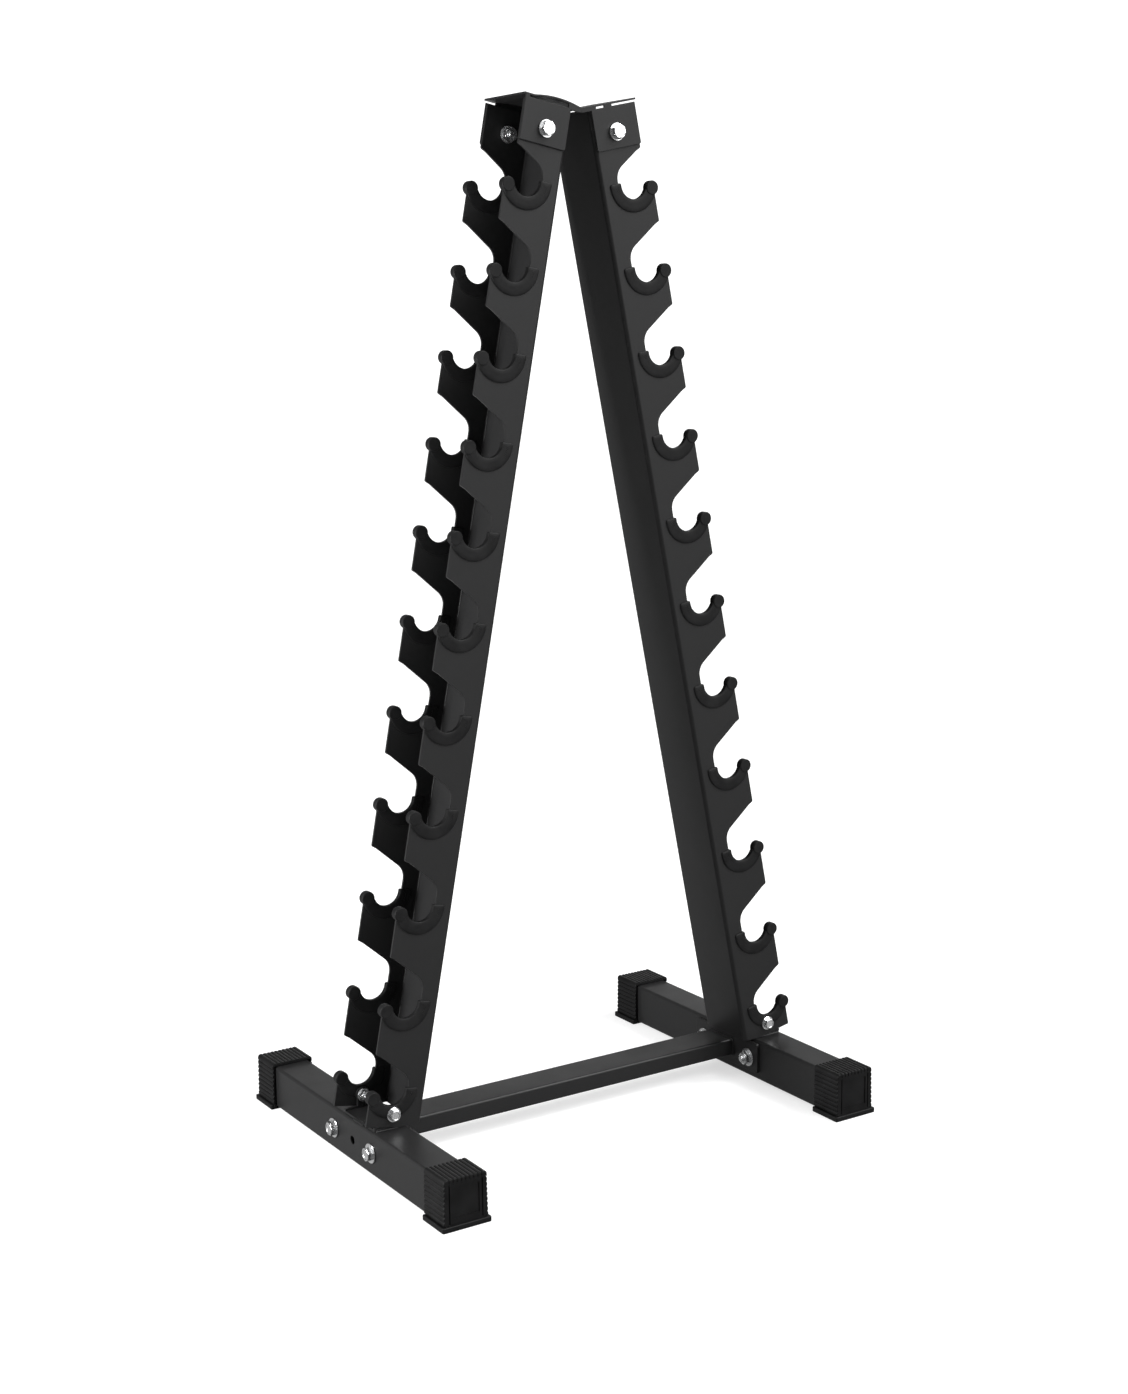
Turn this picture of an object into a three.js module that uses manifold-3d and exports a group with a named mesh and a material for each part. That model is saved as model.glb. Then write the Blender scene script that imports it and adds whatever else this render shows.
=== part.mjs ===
// Dumbbell rack: two notched channel uprights lean together at a folded top bracket and
// are bolted to two box-section feet, which a low crossbar ties together.
// Millimetres. X runs from foot to foot, -Y is the front, +Z is up, and the floor is Z = 0.
import * as THREE from 'three';
import { mergeVertices } from 'three/addons/utils/BufferGeometryUtils.js';
import Module from 'manifold-3d';

const wasm = await Module();
wasm.setup();

// ---------- driving dimensions ----------
const GAP = 0.3; // clearance kept between pieces that touch
const BITE = 1; // how far joined pieces and cutters run into one another
const OVERCUT = 20; // how far a cutter runs past an open edge
const ARC_STEP = 30; // degrees per facet on rounded corners
const HOLE_SIDES = 12;
const WASHER_SIDES = 12;
const NUB_SIDES = 10;
const SHANK_SIDES = 6;
const FOOT_SPACING = 602; // centre to centre of the two feet
const FOOT_LENGTH = 519; // over the end caps, above their base rims
const TUBE_WIDTH = 50;
const TUBE_BOTTOM = 2.2;
const TUBE_TOP = 60;
const TUBE_WALL = 2.5;
const TUBE_CORNER = 4;

const CAP_WIDTH = 61.6;
const CAP_HEIGHT = 64.8;
const CAP_LENGTH = 48.6;
const CAP_END_WALL = 5;
const CAP_RIM = 2.8; // how far the base rim stands out
const CAP_RIM_HEIGHT = 6.9;
const CAP_SKIN = 2.2; // wall left around the wider mouth that the tube enters by
const CAP_MOUTH_DEPTH = 14;
const CAP_RIBS = 9;
const CAP_GROOVE = 1.4; // depth of the grooves between the ribs
const CAP_GROOVE_SHARE = 0.3; // a groove's width, as a share of the rib pitch
const CAP_CORNER = 2;
const CAP_SLOT_PLACE = 0.72; // the end face's upright slots, as a share of the half width
const CAP_SLOT = 1; // depth of those slots, and half their width
const CAP_SLOT_FOOT = 2; // they start this far above the base rim

const LEAN = THREE.MathUtils.degToRad(11.16);
const UPRIGHT_Y = -30; // the channels stand a little in front of the feet's middle
const WEB_TOP_X = 13; // outer face of each web at its top edge
const WEB_TOP_Z = 1308.4;
const CHANNEL_LENGTH = 1276.6; // to the square-cut end beyond the foot's top
const CHANNEL_WIDTH = 90;
const CHANNEL_DEPTH = 78; // over the teeth
const TOP_DEPTH = 67.5; // over the plain section at the top
const SHEET = 3;
const BEND_OUTER = 5;

const TIERS = 11;
const FIRST_CUP = 114.7; // from the channel's top to the first cup's bottom
const TIER_PITCH = 103.9; // cup to cup at the top; the heavier rows are further apart
const TIER_PITCH_GROWTH = 2.42;
const LAST_PITCH = 112;
const MOUTH_HEIGHT = 71; // cup bottom up to the tooth above
const MOUTH_GROWTH = 0.75;
const FIRST_MOUTH = 60;
const LAST_MOUTH = 65;

const CUP_T = 47.6; // cup centre, measured out from the web
const CUP_RADIUS = 18.8; // inside the liner
const LINER = 3.4; // rubber between the cup and the steel edge
const LINER_BAND = 16.4; // width of the liner's side flanks
const LINER_FLANK = 2.2;
const LINER_HEEL = 4; // the inner end stands this far above the cup's centre
const NUB_T = 73.9;
const NUB_RISE = 9.3; // nub centre above the cup's bottom
const NUB_RADIUS = 8.2;
const TIP_RADIUS = 5;
const TIP_FIT = 0.98; // trims the tip's second arc so that the two arcs don't quite meet
const BACK_FILLET = 20;
const TOOTH_STEP = 7.5; // the short step between a tooth's lower corner and its slope
const TOOTH_STEP_RISE = 3;
const STEP_FILLET = 3;
const TOOTH_CORNER = 2.5;
const MOUTH_CLEAR = 4; // a notch's cutter opens this far over the mouth's top corner
const MOUTH_SLOPE = Math.tan(THREE.MathUtils.degToRad(30));
const FIRST_LINED_TIER = 3; // tiers 1 and 2 show their bare notches here

const BAR_Y = -5;
const BAR_DEPTH = 53;
const BAR_BOTTOM = 24.5;
const BAR_TOP = 48.5;
const BAR_WALL = 2;
const BAR_CORNER = 3;
const PLATE_Y = -15; // the end plates' middle, a little in front of the bar's
const PLATE_LENGTH = 142;
const PLATE_BOTTOM = 12.5;
const PLATE_TOP = 56;
const PLATE_THICKNESS = 4;
const PLATE_CORNER = 2;
const BAR_BOLT_Z = 32;
const BAR_BOLT_SPACING = 102;
const BAR_HOLES = [-0.5, 0, 0.5].map((share) => PLATE_Y + share * BAR_BOLT_SPACING);

const BRACKET_SHEET = 2.5;
const BRACKET_LIFT = 3.4; // plate's underside above the channel's top edge
const FLAP_LENGTH = 50;
const FLAP_START = 2; // a flap's inner edge, out from the web
const FLAP_PAST = 0.5; // a flap's outer edge, past the channel's plain section
const FLAP_RISE = 1.2; // a flap's upper edge, above the channel's top edge
const FOLD_ROOT = 1.5; // how far a fold overlaps its flap
const PLATE_OVERHANG = 2.5;
// Where the plate's rim is folded down to the flaps, out from the web. Slits lie between.
const APEX = -13; // the middle of the rack, as a distance out from the web
const FOLDS = {
  left: { front: [[APEX, 6], [62, 68]], back: [[APEX, 54]] },
  right: { front: [[APEX, 9.5], [21.5, 33]], back: [[APEX, 9.5], [21.5, 33]] },
};
const CROWN_LEFT = 4; // rise of the left half's gentle crown
const CROWN_END = 55; // where the crown ends, out from the web
const CROWN_STEPS = 8;
const TOP_BOLT_T = 33.5;
const TOP_BOLT_S = 30.2;
const FOOT_BOLT_T = 41.5;
const FOOT_BOLT_DROP = 11.5; // below the lowest cup's bottom
const EAR_THICKNESS = 4;
const EAR_BASE = 3; // thickness of the bracket's web, which lies on the foot
const EAR_ROOT = 3; // weld fillet's height under each ear
const EAR_NECK = 8; // half the width of the neck under an ear's round top
const EAR_WIDTH = 44;
const EAR_TOP_RADIUS = 10;

const M8 = { radius: 4, hole: 4.5, flats: 13, head: 5.3, nut: 6.8 };
const M10 = { radius: 5, hole: 5.6, flats: 16.5, head: 6.5, nut: 8 };
const WASHER_THICKNESS = 1.8;
const BOLT_TAIL = 4; // thread showing past the nut
const HEX_SINK = 0.2; // heads and nuts run this far into their washers
const TOP_WASHER = 10.8; // radius of the washers at the top bracket
const CHANNEL_FOOT_WASHER = 9.6; // radius of the washers on the channels' lower ends
const EAR_WASHER = 8.5; // radius of the washers inside the foot brackets
const BAR_WASHER = 12.8; // radius of the washers on the feet

// ---------- materials ----------
const finish = {
  steel: () => new THREE.MeshStandardMaterial({ color: 0x141415, roughness: 0.5, metalness: 0.3 }),
  rubber: () => new THREE.MeshStandardMaterial({ color: 0x0e0e0f, roughness: 0.75, metalness: 0 }),
  zinc: () => new THREE.MeshStandardMaterial({ color: 0xd4d6d8, roughness: 0.25, metalness: 0.9 }),
};

// ---------- solids ----------
// Turns a closed geometry, placed by an optional matrix, into a solid that can be cut and joined.
function toSolid(geometry, place) {
  const bare = geometry.index ? geometry.toNonIndexed() : geometry.clone();
  bare.deleteAttribute('normal');
  bare.deleteAttribute('uv');
  if (place) bare.applyMatrix4(place);
  const merged = mergeVertices(bare, 1e-4);
  return new wasm.Manifold(new wasm.Mesh({
    numProp: 3,
    vertProperties: new Float32Array(merged.attributes.position.array),
    triVerts: new Uint32Array(merged.index.array),
  }));
}

function toGeometry(solid) {
  const mesh = solid.getMesh();
  const geometry = new THREE.BufferGeometry();
  geometry.setAttribute('position', new THREE.BufferAttribute(mesh.vertProperties, 3));
  geometry.setIndex(new THREE.BufferAttribute(mesh.triVerts, 1));
  geometry.computeVertexNormals();
  return geometry;
}

function addMesh(parent, name, solid, material) {
  const mesh = new THREE.Mesh(toGeometry(solid), material);
  mesh.name = name;
  parent.add(mesh);
  return mesh;
}

function joined(solids) {
  return solids.reduce((whole, piece) => whole.add(piece));
}

// A polygon whose corners [a, b, radius] are rounded by arcs.
function roundedShape(corners, stepDegrees = ARC_STEP) {
  const points = [];
  corners.forEach(([a, b, radius], i) => {
    const corner = new THREE.Vector2(a, b);
    if (!radius) {
      points.push(corner);
      return;
    }
    const before = corners.at(i - 1);
    const after = corners[(i + 1) % corners.length];
    const back = new THREE.Vector2(before[0] - a, before[1] - b).normalize();
    const ahead = new THREE.Vector2(after[0] - a, after[1] - b).normalize();
    const half = Math.acos(THREE.MathUtils.clamp(back.dot(ahead), -1, 1)) / 2;
    const start = corner.clone().addScaledVector(back, radius / Math.tan(half));
    const inward = back.clone().add(ahead).normalize();
    const centre = corner.clone().addScaledVector(inward, radius / Math.sin(half));
    const turn = Math.sign(ahead.cross(back)) * (Math.PI - 2 * half);
    const steps = Math.ceil(Math.abs(turn) / THREE.MathUtils.degToRad(stepDegrees) - 0.01);
    for (let k = 0; k <= steps; k += 1) {
      points.push(start.clone().rotateAround(centre, (turn * k) / steps));
    }
  });
  return new THREE.Shape(points);
}

function rectangle(a0, a1, b0, b1, radius = 0) {
  const corners = [[a0, b0, radius], [a1, b0, radius], [a1, b1, radius], [a0, b1, radius]];
  return roundedShape(corners);
}

// Extrudes a shape along x, y or z. It is drawn in (y, z), (x, z) or (x, y).
const UNIT = {
  x: new THREE.Vector3(1, 0, 0),
  y: new THREE.Vector3(0, 1, 0),
  z: new THREE.Vector3(0, 0, 1),
};
const DRAWN_IN = {
  x: new THREE.Matrix4().makeBasis(UNIT.y, UNIT.z, UNIT.x),
  y: new THREE.Matrix4().makeBasis(UNIT.x, UNIT.z, UNIT.y.clone().negate()),
  z: new THREE.Matrix4(),
};

function prism(axis, shape, from, to, place) {
  const geometry = new THREE.ExtrudeGeometry(shape, { depth: to - from, bevelEnabled: false });
  geometry.applyMatrix4(DRAWN_IN[axis]);
  const shift = axis === 'y' ? to : from;
  geometry.translate(UNIT[axis].x * shift, UNIT[axis].y * shift, UNIT[axis].z * shift);
  return toSolid(geometry, place);
}

function box(x0, x1, y0, y1, z0, z1, place) {
  return prism('z', rectangle(x0, x1, y0, y1), z0, z1, place);
}

// A round or many-sided bar along y, centred on (x, z).
function barY(radius, from, to, x = 0, z = 0, sides = HOLE_SIDES, place = undefined) {
  const geometry = new THREE.CylinderGeometry(radius, radius, to - from, sides);
  geometry.translate(x, (from + to) / 2, z);
  return toSolid(geometry, place);
}

// The same along x, centred on (y, z).
function barX(radius, from, to, y, z) {
  const geometry = new THREE.CylinderGeometry(radius, radius, to - from, HOLE_SIDES);
  geometry.rotateZ(-Math.PI / 2);
  geometry.translate((from + to) / 2, y, z);
  return toSolid(geometry);
}

// ---------- tiers ----------
const tiers = Array.from({ length: TIERS }, (_, i) => i + 1);

// Distance down the channel from its top edge to the bottom of a lined cup.
function cupDepth(tier) {
  const steps = Math.min(tier, TIERS - 1) - 1;
  const depth = FIRST_CUP + TIER_PITCH * steps + (TIER_PITCH_GROWTH * steps * (steps - 1)) / 2;
  return tier === TIERS ? depth + LAST_PITCH : depth;
}

// Height of a notch's mouth, from the cup's bottom to the corner of the tooth above.
function mouthHeight(tier) {
  if (tier === 1) return FIRST_MOUTH;
  if (tier === TIERS) return LAST_MOUTH;
  return MOUTH_HEIGHT + MOUTH_GROWTH * (tier - 2);
}

// A cup is drawn about its lined bottom. Between its floor's arc and the tooth's round tip
// runs a straight wall that touches both, and `layer` is how far inside the liner it lies.
function cupCorners(layer, tipRadius) {
  const radius = CUP_RADIUS + layer;
  const across = NUB_T - CUP_T;
  const drop = CUP_RADIUS - NUB_RISE;
  const heading = Math.atan2(drop, across);
  const touch = heading + Math.acos((radius + tipRadius) / Math.hypot(across, drop));
  const touchT = CUP_T + radius * Math.cos(touch);
  const touchZ = CUP_RADIUS - radius * Math.sin(touch);
  const wallAt = (z) => touchT + (z - touchZ) * Math.tan(touch);
  const tipTop = NUB_RISE + tipRadius;
  return [
    [wallAt(tipTop), tipTop, tipRadius],
    [wallAt(-layer), -layer, radius],
    [CUP_T - radius, -layer, radius],
  ];
}

// ---------- uprights ----------
// A channel's own frame: x runs out from its web, y across it, and z up from its top edge.
const footBoltZ = -(cupDepth(TIERS) + FOOT_BOLT_DROP);

function channelPlace(side) {
  const place = new THREE.Matrix4().makeTranslation(0, UPRIGHT_Y, 0);
  if (side === 'left') place.multiply(new THREE.Matrix4().makeRotationZ(Math.PI));
  place.multiply(new THREE.Matrix4().makeTranslation(WEB_TOP_X, 0, WEB_TOP_Z));
  return place.multiply(new THREE.Matrix4().makeRotationY(-LEAN));
}

function channelGroup(side) {
  const group = new THREE.Group();
  group.applyMatrix4(channelPlace(side));
  return group;
}

function notch(tier) {
  const edge = tier === 1 ? TOP_DEPTH : CHANNEL_DEPTH;
  const slopeT = edge - TOOTH_STEP;
  const mouth = mouthHeight(tier);
  const slopeZ = mouth - TOOTH_STEP_RISE;
  const cup = cupCorners(LINER, TIP_RADIUS);
  const wallT = cup.at(-1)[0];
  const outside = CHANNEL_DEPTH + OVERCUT;
  const shape = roundedShape([
    [outside, NUB_RISE, 0],
    [CHANNEL_DEPTH, NUB_RISE, 0],
    [CHANNEL_DEPTH, NUB_RISE + TIP_RADIUS, TIP_RADIUS * TIP_FIT],
    ...cup,
    [wallT, slopeZ - (slopeT - wallT) * MOUTH_SLOPE, BACK_FILLET],
    [slopeT, slopeZ, STEP_FILLET],
    [edge, mouth, TOOTH_CORNER],
    [edge, mouth + MOUTH_CLEAR, 0],
    [outside, mouth + MOUTH_CLEAR, 0],
  ]);
  const place = new THREE.Matrix4().makeTranslation(0, 0, -cupDepth(tier));
  return prism('y', shape, -CHANNEL_WIDTH, CHANNEL_WIDTH, place);
}

// Everything lower than the foot's top face, in the channel's own frame.
function belowFootTop() {
  const reach = CHANNEL_LENGTH;
  const top = TUBE_TOP + GAP;
  return box(-reach, reach, -reach, reach, top - reach, top, channelPlace('right').invert());
}

function buildChannel() {
  const half = CHANNEL_WIDTH / 2;
  const inner = half - SHEET;
  const bend = BEND_OUTER - SHEET;
  const section = roundedShape([
    [0, -half, BEND_OUTER],
    [CHANNEL_DEPTH, -half, 0],
    [CHANNEL_DEPTH, -inner, 0],
    [SHEET, -inner, bend],
    [SHEET, inner, bend],
    [CHANNEL_DEPTH, inner, 0],
    [CHANNEL_DEPTH, half, 0],
    [0, half, BEND_OUTER],
  ]);
  const topCorner = FIRST_MOUTH - cupDepth(1);
  const outside = CHANNEL_DEPTH + OVERCUT;
  const cuts = [
    box(TOP_DEPTH, outside, -CHANNEL_WIDTH, CHANNEL_WIDTH, topCorner, OVERCUT),
    barY(M10.hole, -CHANNEL_WIDTH, CHANNEL_WIDTH, TOP_BOLT_T, -TOP_BOLT_S),
    barY(M8.hole, -CHANNEL_WIDTH, CHANNEL_WIDTH, FOOT_BOLT_T, footBoltZ),
    belowFootTop(),
    ...tiers.map(notch),
  ];
  return cuts.reduce((solid, cut) => solid.subtract(cut), prism('z', section, -CHANNEL_LENGTH, 0));
}

// ---------- cup liners ----------
// A moulding that grips a notch's edge: two flanks either side of the sheet, and a round
// nub over the tooth's tip. It is drawn about its cup's bottom and the sheet's mid-plane.
function buildLiner(tier) {
  const slotHalf = SHEET / 2 + GAP;
  const half = slotHalf + LINER_FLANK;
  const outer = CUP_RADIUS + LINER_BAND;
  const reach = outer + OVERCUT;
  const disc = barY(outer, -half, half, CUP_T, CUP_RADIUS, HOLE_SIDES);
  const behind = box(CUP_T - reach, CUP_T, -half, half, -reach, CUP_RADIUS + LINER_HEEL);
  const ahead = box(CUP_T, CUP_T + reach, -half, half, -reach, NUB_RISE);
  const nub = barY(NUB_RADIUS, -half, half, NUB_T, NUB_RISE, NUB_SIDES);
  const top = CUP_RADIUS + reach;
  const mouth = roundedShape([
    [NUB_T, NUB_RISE + NUB_RADIUS, 0],
    ...cupCorners(0, NUB_RADIUS),
    [CUP_T - CUP_RADIUS, top, 0],
    [NUB_T, top, 0],
  ]);
  const edgeT = CHANNEL_DEPTH + GAP;
  const tip = TIP_RADIUS + GAP;
  const openSide = roundedShape([
    [edgeT + reach, -reach, 0],
    [edgeT, -reach, 0],
    [edgeT, NUB_RISE + tip, tip * TIP_FIT],
    ...cupCorners(LINER - GAP, tip),
    [CUP_T - CUP_RADIUS - LINER + GAP, top, 0],
    [edgeT + reach, top, 0],
  ]);
  const sheet = box(0, edgeT + BITE, -slotHalf, slotHalf, -reach, top - BITE)
    .subtract(prism('y', openSide, -reach, reach));
  let liner = disc.intersect(behind.add(ahead)).add(nub);
  liner = liner.subtract(prism('y', mouth, -reach, reach)).subtract(sheet);
  if (tier < TIERS) return liner;
  const relief = Math.max(EAR_TOP_RADIUS, CHANNEL_FOOT_WASHER) + 2 * GAP;
  for (const [from, to] of [[-reach, -SHEET / 2], [SHEET / 2, reach]]) {
    liner = liner.subtract(barY(relief, from, to, FOOT_BOLT_T, -FOOT_BOLT_DROP, HOLE_SIDES));
  }
  return liner;
}

// ---------- top bracket ----------
// A folded plate over both channels. Narrow tabs carry four flaps that lie outside the flanges.
function crownAt(side, t) {
  if (side === 'right') return 0;
  const along = (t + WEB_TOP_X) / (CROWN_END + WEB_TOP_X);
  return CROWN_LEFT * Math.max(0, 1 - (2 * along - 1) ** 2);
}

function plateEdge(side, height, steps) {
  const sign = side === 'left' ? -1 : 1;
  const first = (height * Math.sin(LEAN) - WEB_TOP_X) / Math.cos(LEAN);
  const last = TOP_DEPTH + PLATE_OVERHANG;
  return Array.from({ length: steps + 1 }, (_, i) => {
    const t = first + ((last - first) * i) / steps;
    const lift = height + crownAt(side, t);
    const x = WEB_TOP_X + t * Math.cos(LEAN) - lift * Math.sin(LEAN);
    const z = WEB_TOP_Z + t * Math.sin(LEAN) + lift * Math.cos(LEAN);
    return [i === 0 ? 0 : sign * x, z, 0];
  });
}

function buildTopBracket() {
  const half = CHANNEL_WIDTH / 2;
  const under = BRACKET_LIFT;
  const over = BRACKET_LIFT + BRACKET_SHEET;
  const flapIn = half + GAP;
  const flapOut = flapIn + BRACKET_SHEET;
  const profile = roundedShape([
    ...plateEdge('left', under, CROWN_STEPS).reverse(),
    ...plateEdge('right', under, 1).slice(1),
    ...plateEdge('right', over, 1).reverse(),
    ...plateEdge('left', over, CROWN_STEPS).slice(1),
  ]);
  const wide = CHANNEL_WIDTH;
  const aboveFolds = prism('y', roundedShape([
    ...plateEdge('left', under + BITE, CROWN_STEPS).reverse(),
    ...plateEdge('right', under + BITE, 1).slice(1),
    [wide, WEB_TOP_Z + wide, 0],
    [-wide, WEB_TOP_Z + wide, 0],
  ]), UPRIGHT_Y - wide, UPRIGHT_Y + wide);
  let solid = prism('y', profile, UPRIGHT_Y - flapOut, UPRIGHT_Y + flapOut);
  for (const side of ['left', 'right']) {
    const place = channelPlace(side);
    for (const face of ['front', 'back']) {
      const sign = (side === 'left') === (face === 'front') ? 1 : -1;
      const [from, to] = [sign * flapIn, sign * flapOut].sort((a, b) => a - b);
      const far = TOP_DEPTH + FLAP_PAST;
      solid = solid.add(box(FLAP_START, far, from, to, -FLAP_LENGTH, FLAP_RISE, place));
      for (const [near, end] of FOLDS[side][face]) {
        const fold = box(near, end, from, to, FLAP_RISE - FOLD_ROOT, OVERCUT, place);
        solid = solid.add(fold.subtract(aboveFolds));
      }
    }
    const holes = barY(M10.hole, -wide, wide, TOP_BOLT_T, -TOP_BOLT_S, HOLE_SIDES, place);
    solid = solid.subtract(holes);
  }
  return solid;
}

// ---------- feet ----------
// Each foot is a box-section tube with a welded U bracket that the channel bolts to.
function buildFoot(side) {
  const sign = side === 'left' ? -1 : 1;
  const half = TUBE_WIDTH / 2;
  const end = FOOT_LENGTH / 2 - CAP_END_WALL - GAP;
  const middle = sign * (FOOT_SPACING / 2);
  const outline = rectangle(middle - half, middle + half, TUBE_BOTTOM, TUBE_TOP, TUBE_CORNER);
  const wall = TUBE_WALL;
  const hollow = rectangle(
    middle - half + wall,
    middle + half - wall,
    TUBE_BOTTOM + wall,
    TUBE_TOP - wall,
    TUBE_CORNER - wall,
  );
  let solid = prism('y', outline, -end, end);

  const earOut = CHANNEL_WIDTH / 2 - SHEET - GAP;
  const earIn = earOut - EAR_THICKNESS;
  const baseTop = TUBE_TOP + EAR_BASE;
  const near = middle - EAR_WIDTH / 2;
  const far = middle + EAR_WIDTH / 2;
  const bolt = new THREE.Vector3(FOOT_BOLT_T, 0, footBoltZ).applyMatrix4(channelPlace(side));
  const low = TUBE_TOP - BITE;
  solid = solid.add(box(near, far, UPRIGHT_Y - earOut, UPRIGHT_Y + earOut, low, baseTop));
  for (const [from, to] of [[-earOut, -earIn], [earIn, earOut]]) {
    const y0 = UPRIGHT_Y + from;
    const y1 = UPRIGHT_Y + to;
    solid = solid.add(box(near, far, y0, y1, low, baseTop + EAR_ROOT));
    solid = solid.add(box(bolt.x - EAR_NECK, bolt.x + EAR_NECK, y0, y1, low, bolt.z));
    solid = solid.add(barY(EAR_TOP_RADIUS, y0, y1, bolt.x, bolt.z, HOLE_SIDES));
  }
  solid = solid.subtract(prism('y', hollow, -end - BITE, end + BITE));
  const wide = CHANNEL_WIDTH;
  solid = solid.subtract(barY(M8.hole, UPRIGHT_Y - wide, UPRIGHT_Y + wide, bolt.x, bolt.z));
  for (const y of BAR_HOLES) {
    const hole = barX(M10.hole, middle - half - BITE, middle + half + BITE, y, BAR_BOLT_Z);
    solid = solid.subtract(hole);
  }
  return solid;
}

// ---------- end caps ----------
// Drawn about the foot's middle line, with the closed end towards -y.
function buildCap() {
  const half = CAP_WIDTH / 2;
  const pitch = CAP_WIDTH / CAP_RIBS;
  const depth = CAP_GROOVE;
  const groove = (pitch * CAP_GROOVE_SHARE) / 2;
  const sideBase = CAP_RIM_HEIGHT;
  const sidePitch = (CAP_HEIGHT - sideBase) / CAP_RIBS;
  const corners = [[half, 0, 0]];
  for (let i = 1; i < CAP_RIBS; i += 1) {
    const z = sideBase + sidePitch * i;
    corners.push([half, z - groove, 0]);
    corners.push([half - depth, z - groove, 0]);
    corners.push([half - depth, z + groove, 0]);
    corners.push([half, z + groove, 0]);
  }
  corners.push([half, CAP_HEIGHT, CAP_CORNER]);
  for (let i = 1; i <= (CAP_RIBS - 1) / 2; i += 1) {
    const x = half - pitch * i;
    corners.push([x + groove, CAP_HEIGHT, 0]);
    corners.push([x + groove, CAP_HEIGHT - depth, 0]);
    corners.push([x - groove, CAP_HEIGHT - depth, 0]);
    corners.push([x - groove, CAP_HEIGHT, 0]);
  }
  const mirrored = corners.map(([x, z, radius]) => [-x, z, radius]).reverse();
  const ribbed = roundedShape([...corners, ...mirrored], 2 * ARC_STEP);

  const front = -FOOT_LENGTH / 2;
  const open = front + CAP_LENGTH;
  const rim = half + CAP_RIM;
  const rimShape = rectangle(-rim, rim, front - CAP_RIM, open, CAP_CORNER);
  const clear = TUBE_WIDTH / 2 + GAP;
  const pocketFront = front + CAP_END_WALL;
  const floor = TUBE_BOTTOM - GAP;
  const roof = TUBE_TOP + GAP;
  let solid = prism('y', ribbed, front, open).add(prism('z', rimShape, 0, CAP_RIM_HEIGHT));
  solid = solid.subtract(box(-clear, clear, pocketFront, open + BITE, floor, roof));
  const wide = half - depth - CAP_SKIN;
  const high = CAP_HEIGHT - depth - CAP_SKIN;
  solid = solid.subtract(box(-wide, wide, open - CAP_MOUTH_DEPTH, open + BITE, CAP_RIM_HEIGHT, high));
  for (const x of [-1, 1]) {
    const at = x * half * CAP_SLOT_PLACE;
    const foot = CAP_RIM_HEIGHT + CAP_SLOT_FOOT;
    const [left, right] = [at - CAP_SLOT, at + CAP_SLOT];
    const slot = box(left, right, front - BITE, front + CAP_SLOT, foot, CAP_HEIGHT + BITE);
    solid = solid.subtract(slot);
  }
  return solid;
}

// ---------- crossbar ----------
function buildCrossbar() {
  const plateOut = FOOT_SPACING / 2 - TUBE_WIDTH / 2 - GAP;
  const plateIn = plateOut - PLATE_THICKNESS;
  const front = BAR_Y - BAR_DEPTH / 2;
  const back = BAR_Y + BAR_DEPTH / 2;
  const wall = BAR_WALL;
  const outline = rectangle(front, back, BAR_BOTTOM, BAR_TOP, BAR_CORNER);
  const boreCorner = BAR_CORNER - wall;
  const bore = rectangle(front + wall, back - wall, BAR_BOTTOM + wall, BAR_TOP - wall, boreCorner);
  const plateFront = PLATE_Y - PLATE_LENGTH / 2;
  const plateBack = PLATE_Y + PLATE_LENGTH / 2;
  const plate = rectangle(plateFront, plateBack, PLATE_BOTTOM, PLATE_TOP, PLATE_CORNER);
  let solid = joined([
    prism('x', outline, -plateIn - BITE, plateIn + BITE),
    prism('x', plate, -plateOut, -plateIn),
    prism('x', plate, plateIn, plateOut),
  ]);
  solid = solid.subtract(prism('x', bore, -plateIn, plateIn));
  for (const y of BAR_HOLES) {
    solid = solid.subtract(barX(M10.hole, plateIn - BITE, plateOut + BITE, y, BAR_BOLT_Z));
    solid = solid.subtract(barX(M10.hole, -plateOut - BITE, BITE - plateIn, y, BAR_BOLT_Z));
  }
  return solid;
}

// ---------- fasteners ----------
// A bolt with its washers and nut, tightened: the head's side faces +y, and the clamped
// stack runs from y = 0 back to y = -grip.
function buildFastener(size, grip, headWasher, nutWasher = headWasher) {
  const hex = size.flats / Math.sqrt(3);
  const headFrom = GAP + WASHER_THICKNESS;
  const nutTo = -grip - GAP - WASHER_THICKNESS;
  return joined([
    barY(size.radius, nutTo - size.nut - BOLT_TAIL, headFrom + BITE, 0, 0, SHANK_SIDES),
    barY(headWasher, GAP, headFrom, 0, 0, WASHER_SIDES),
    barY(hex, headFrom - HEX_SINK, headFrom + size.head, 0, 0, 6),
    barY(nutWasher, nutTo, -grip - GAP, 0, 0, WASHER_SIDES),
    barY(hex, nutTo - size.nut, nutTo + HEX_SINK, 0, 0, 6),
  ]);
}

// ---------- assembly ----------
const rack = new THREE.Group();
const channelFastenerStart = { top: CHANNEL_WIDTH / 2 + GAP + BRACKET_SHEET, foot: CHANNEL_WIDTH / 2 };
const topFastener = buildFastener(M10, GAP + BRACKET_SHEET + SHEET, TOP_WASHER);
const footGrip = SHEET + GAP + EAR_THICKNESS;
const footFastener = buildFastener(M8, footGrip, CHANNEL_FOOT_WASHER, EAR_WASHER);
const barFastener = buildFastener(M10, TUBE_WIDTH + GAP + PLATE_THICKNESS, BAR_WASHER);
const channel = buildChannel();
const liner = buildLiner(1);
const lowestLiner = buildLiner(TIERS);
const cap = buildCap();

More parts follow.
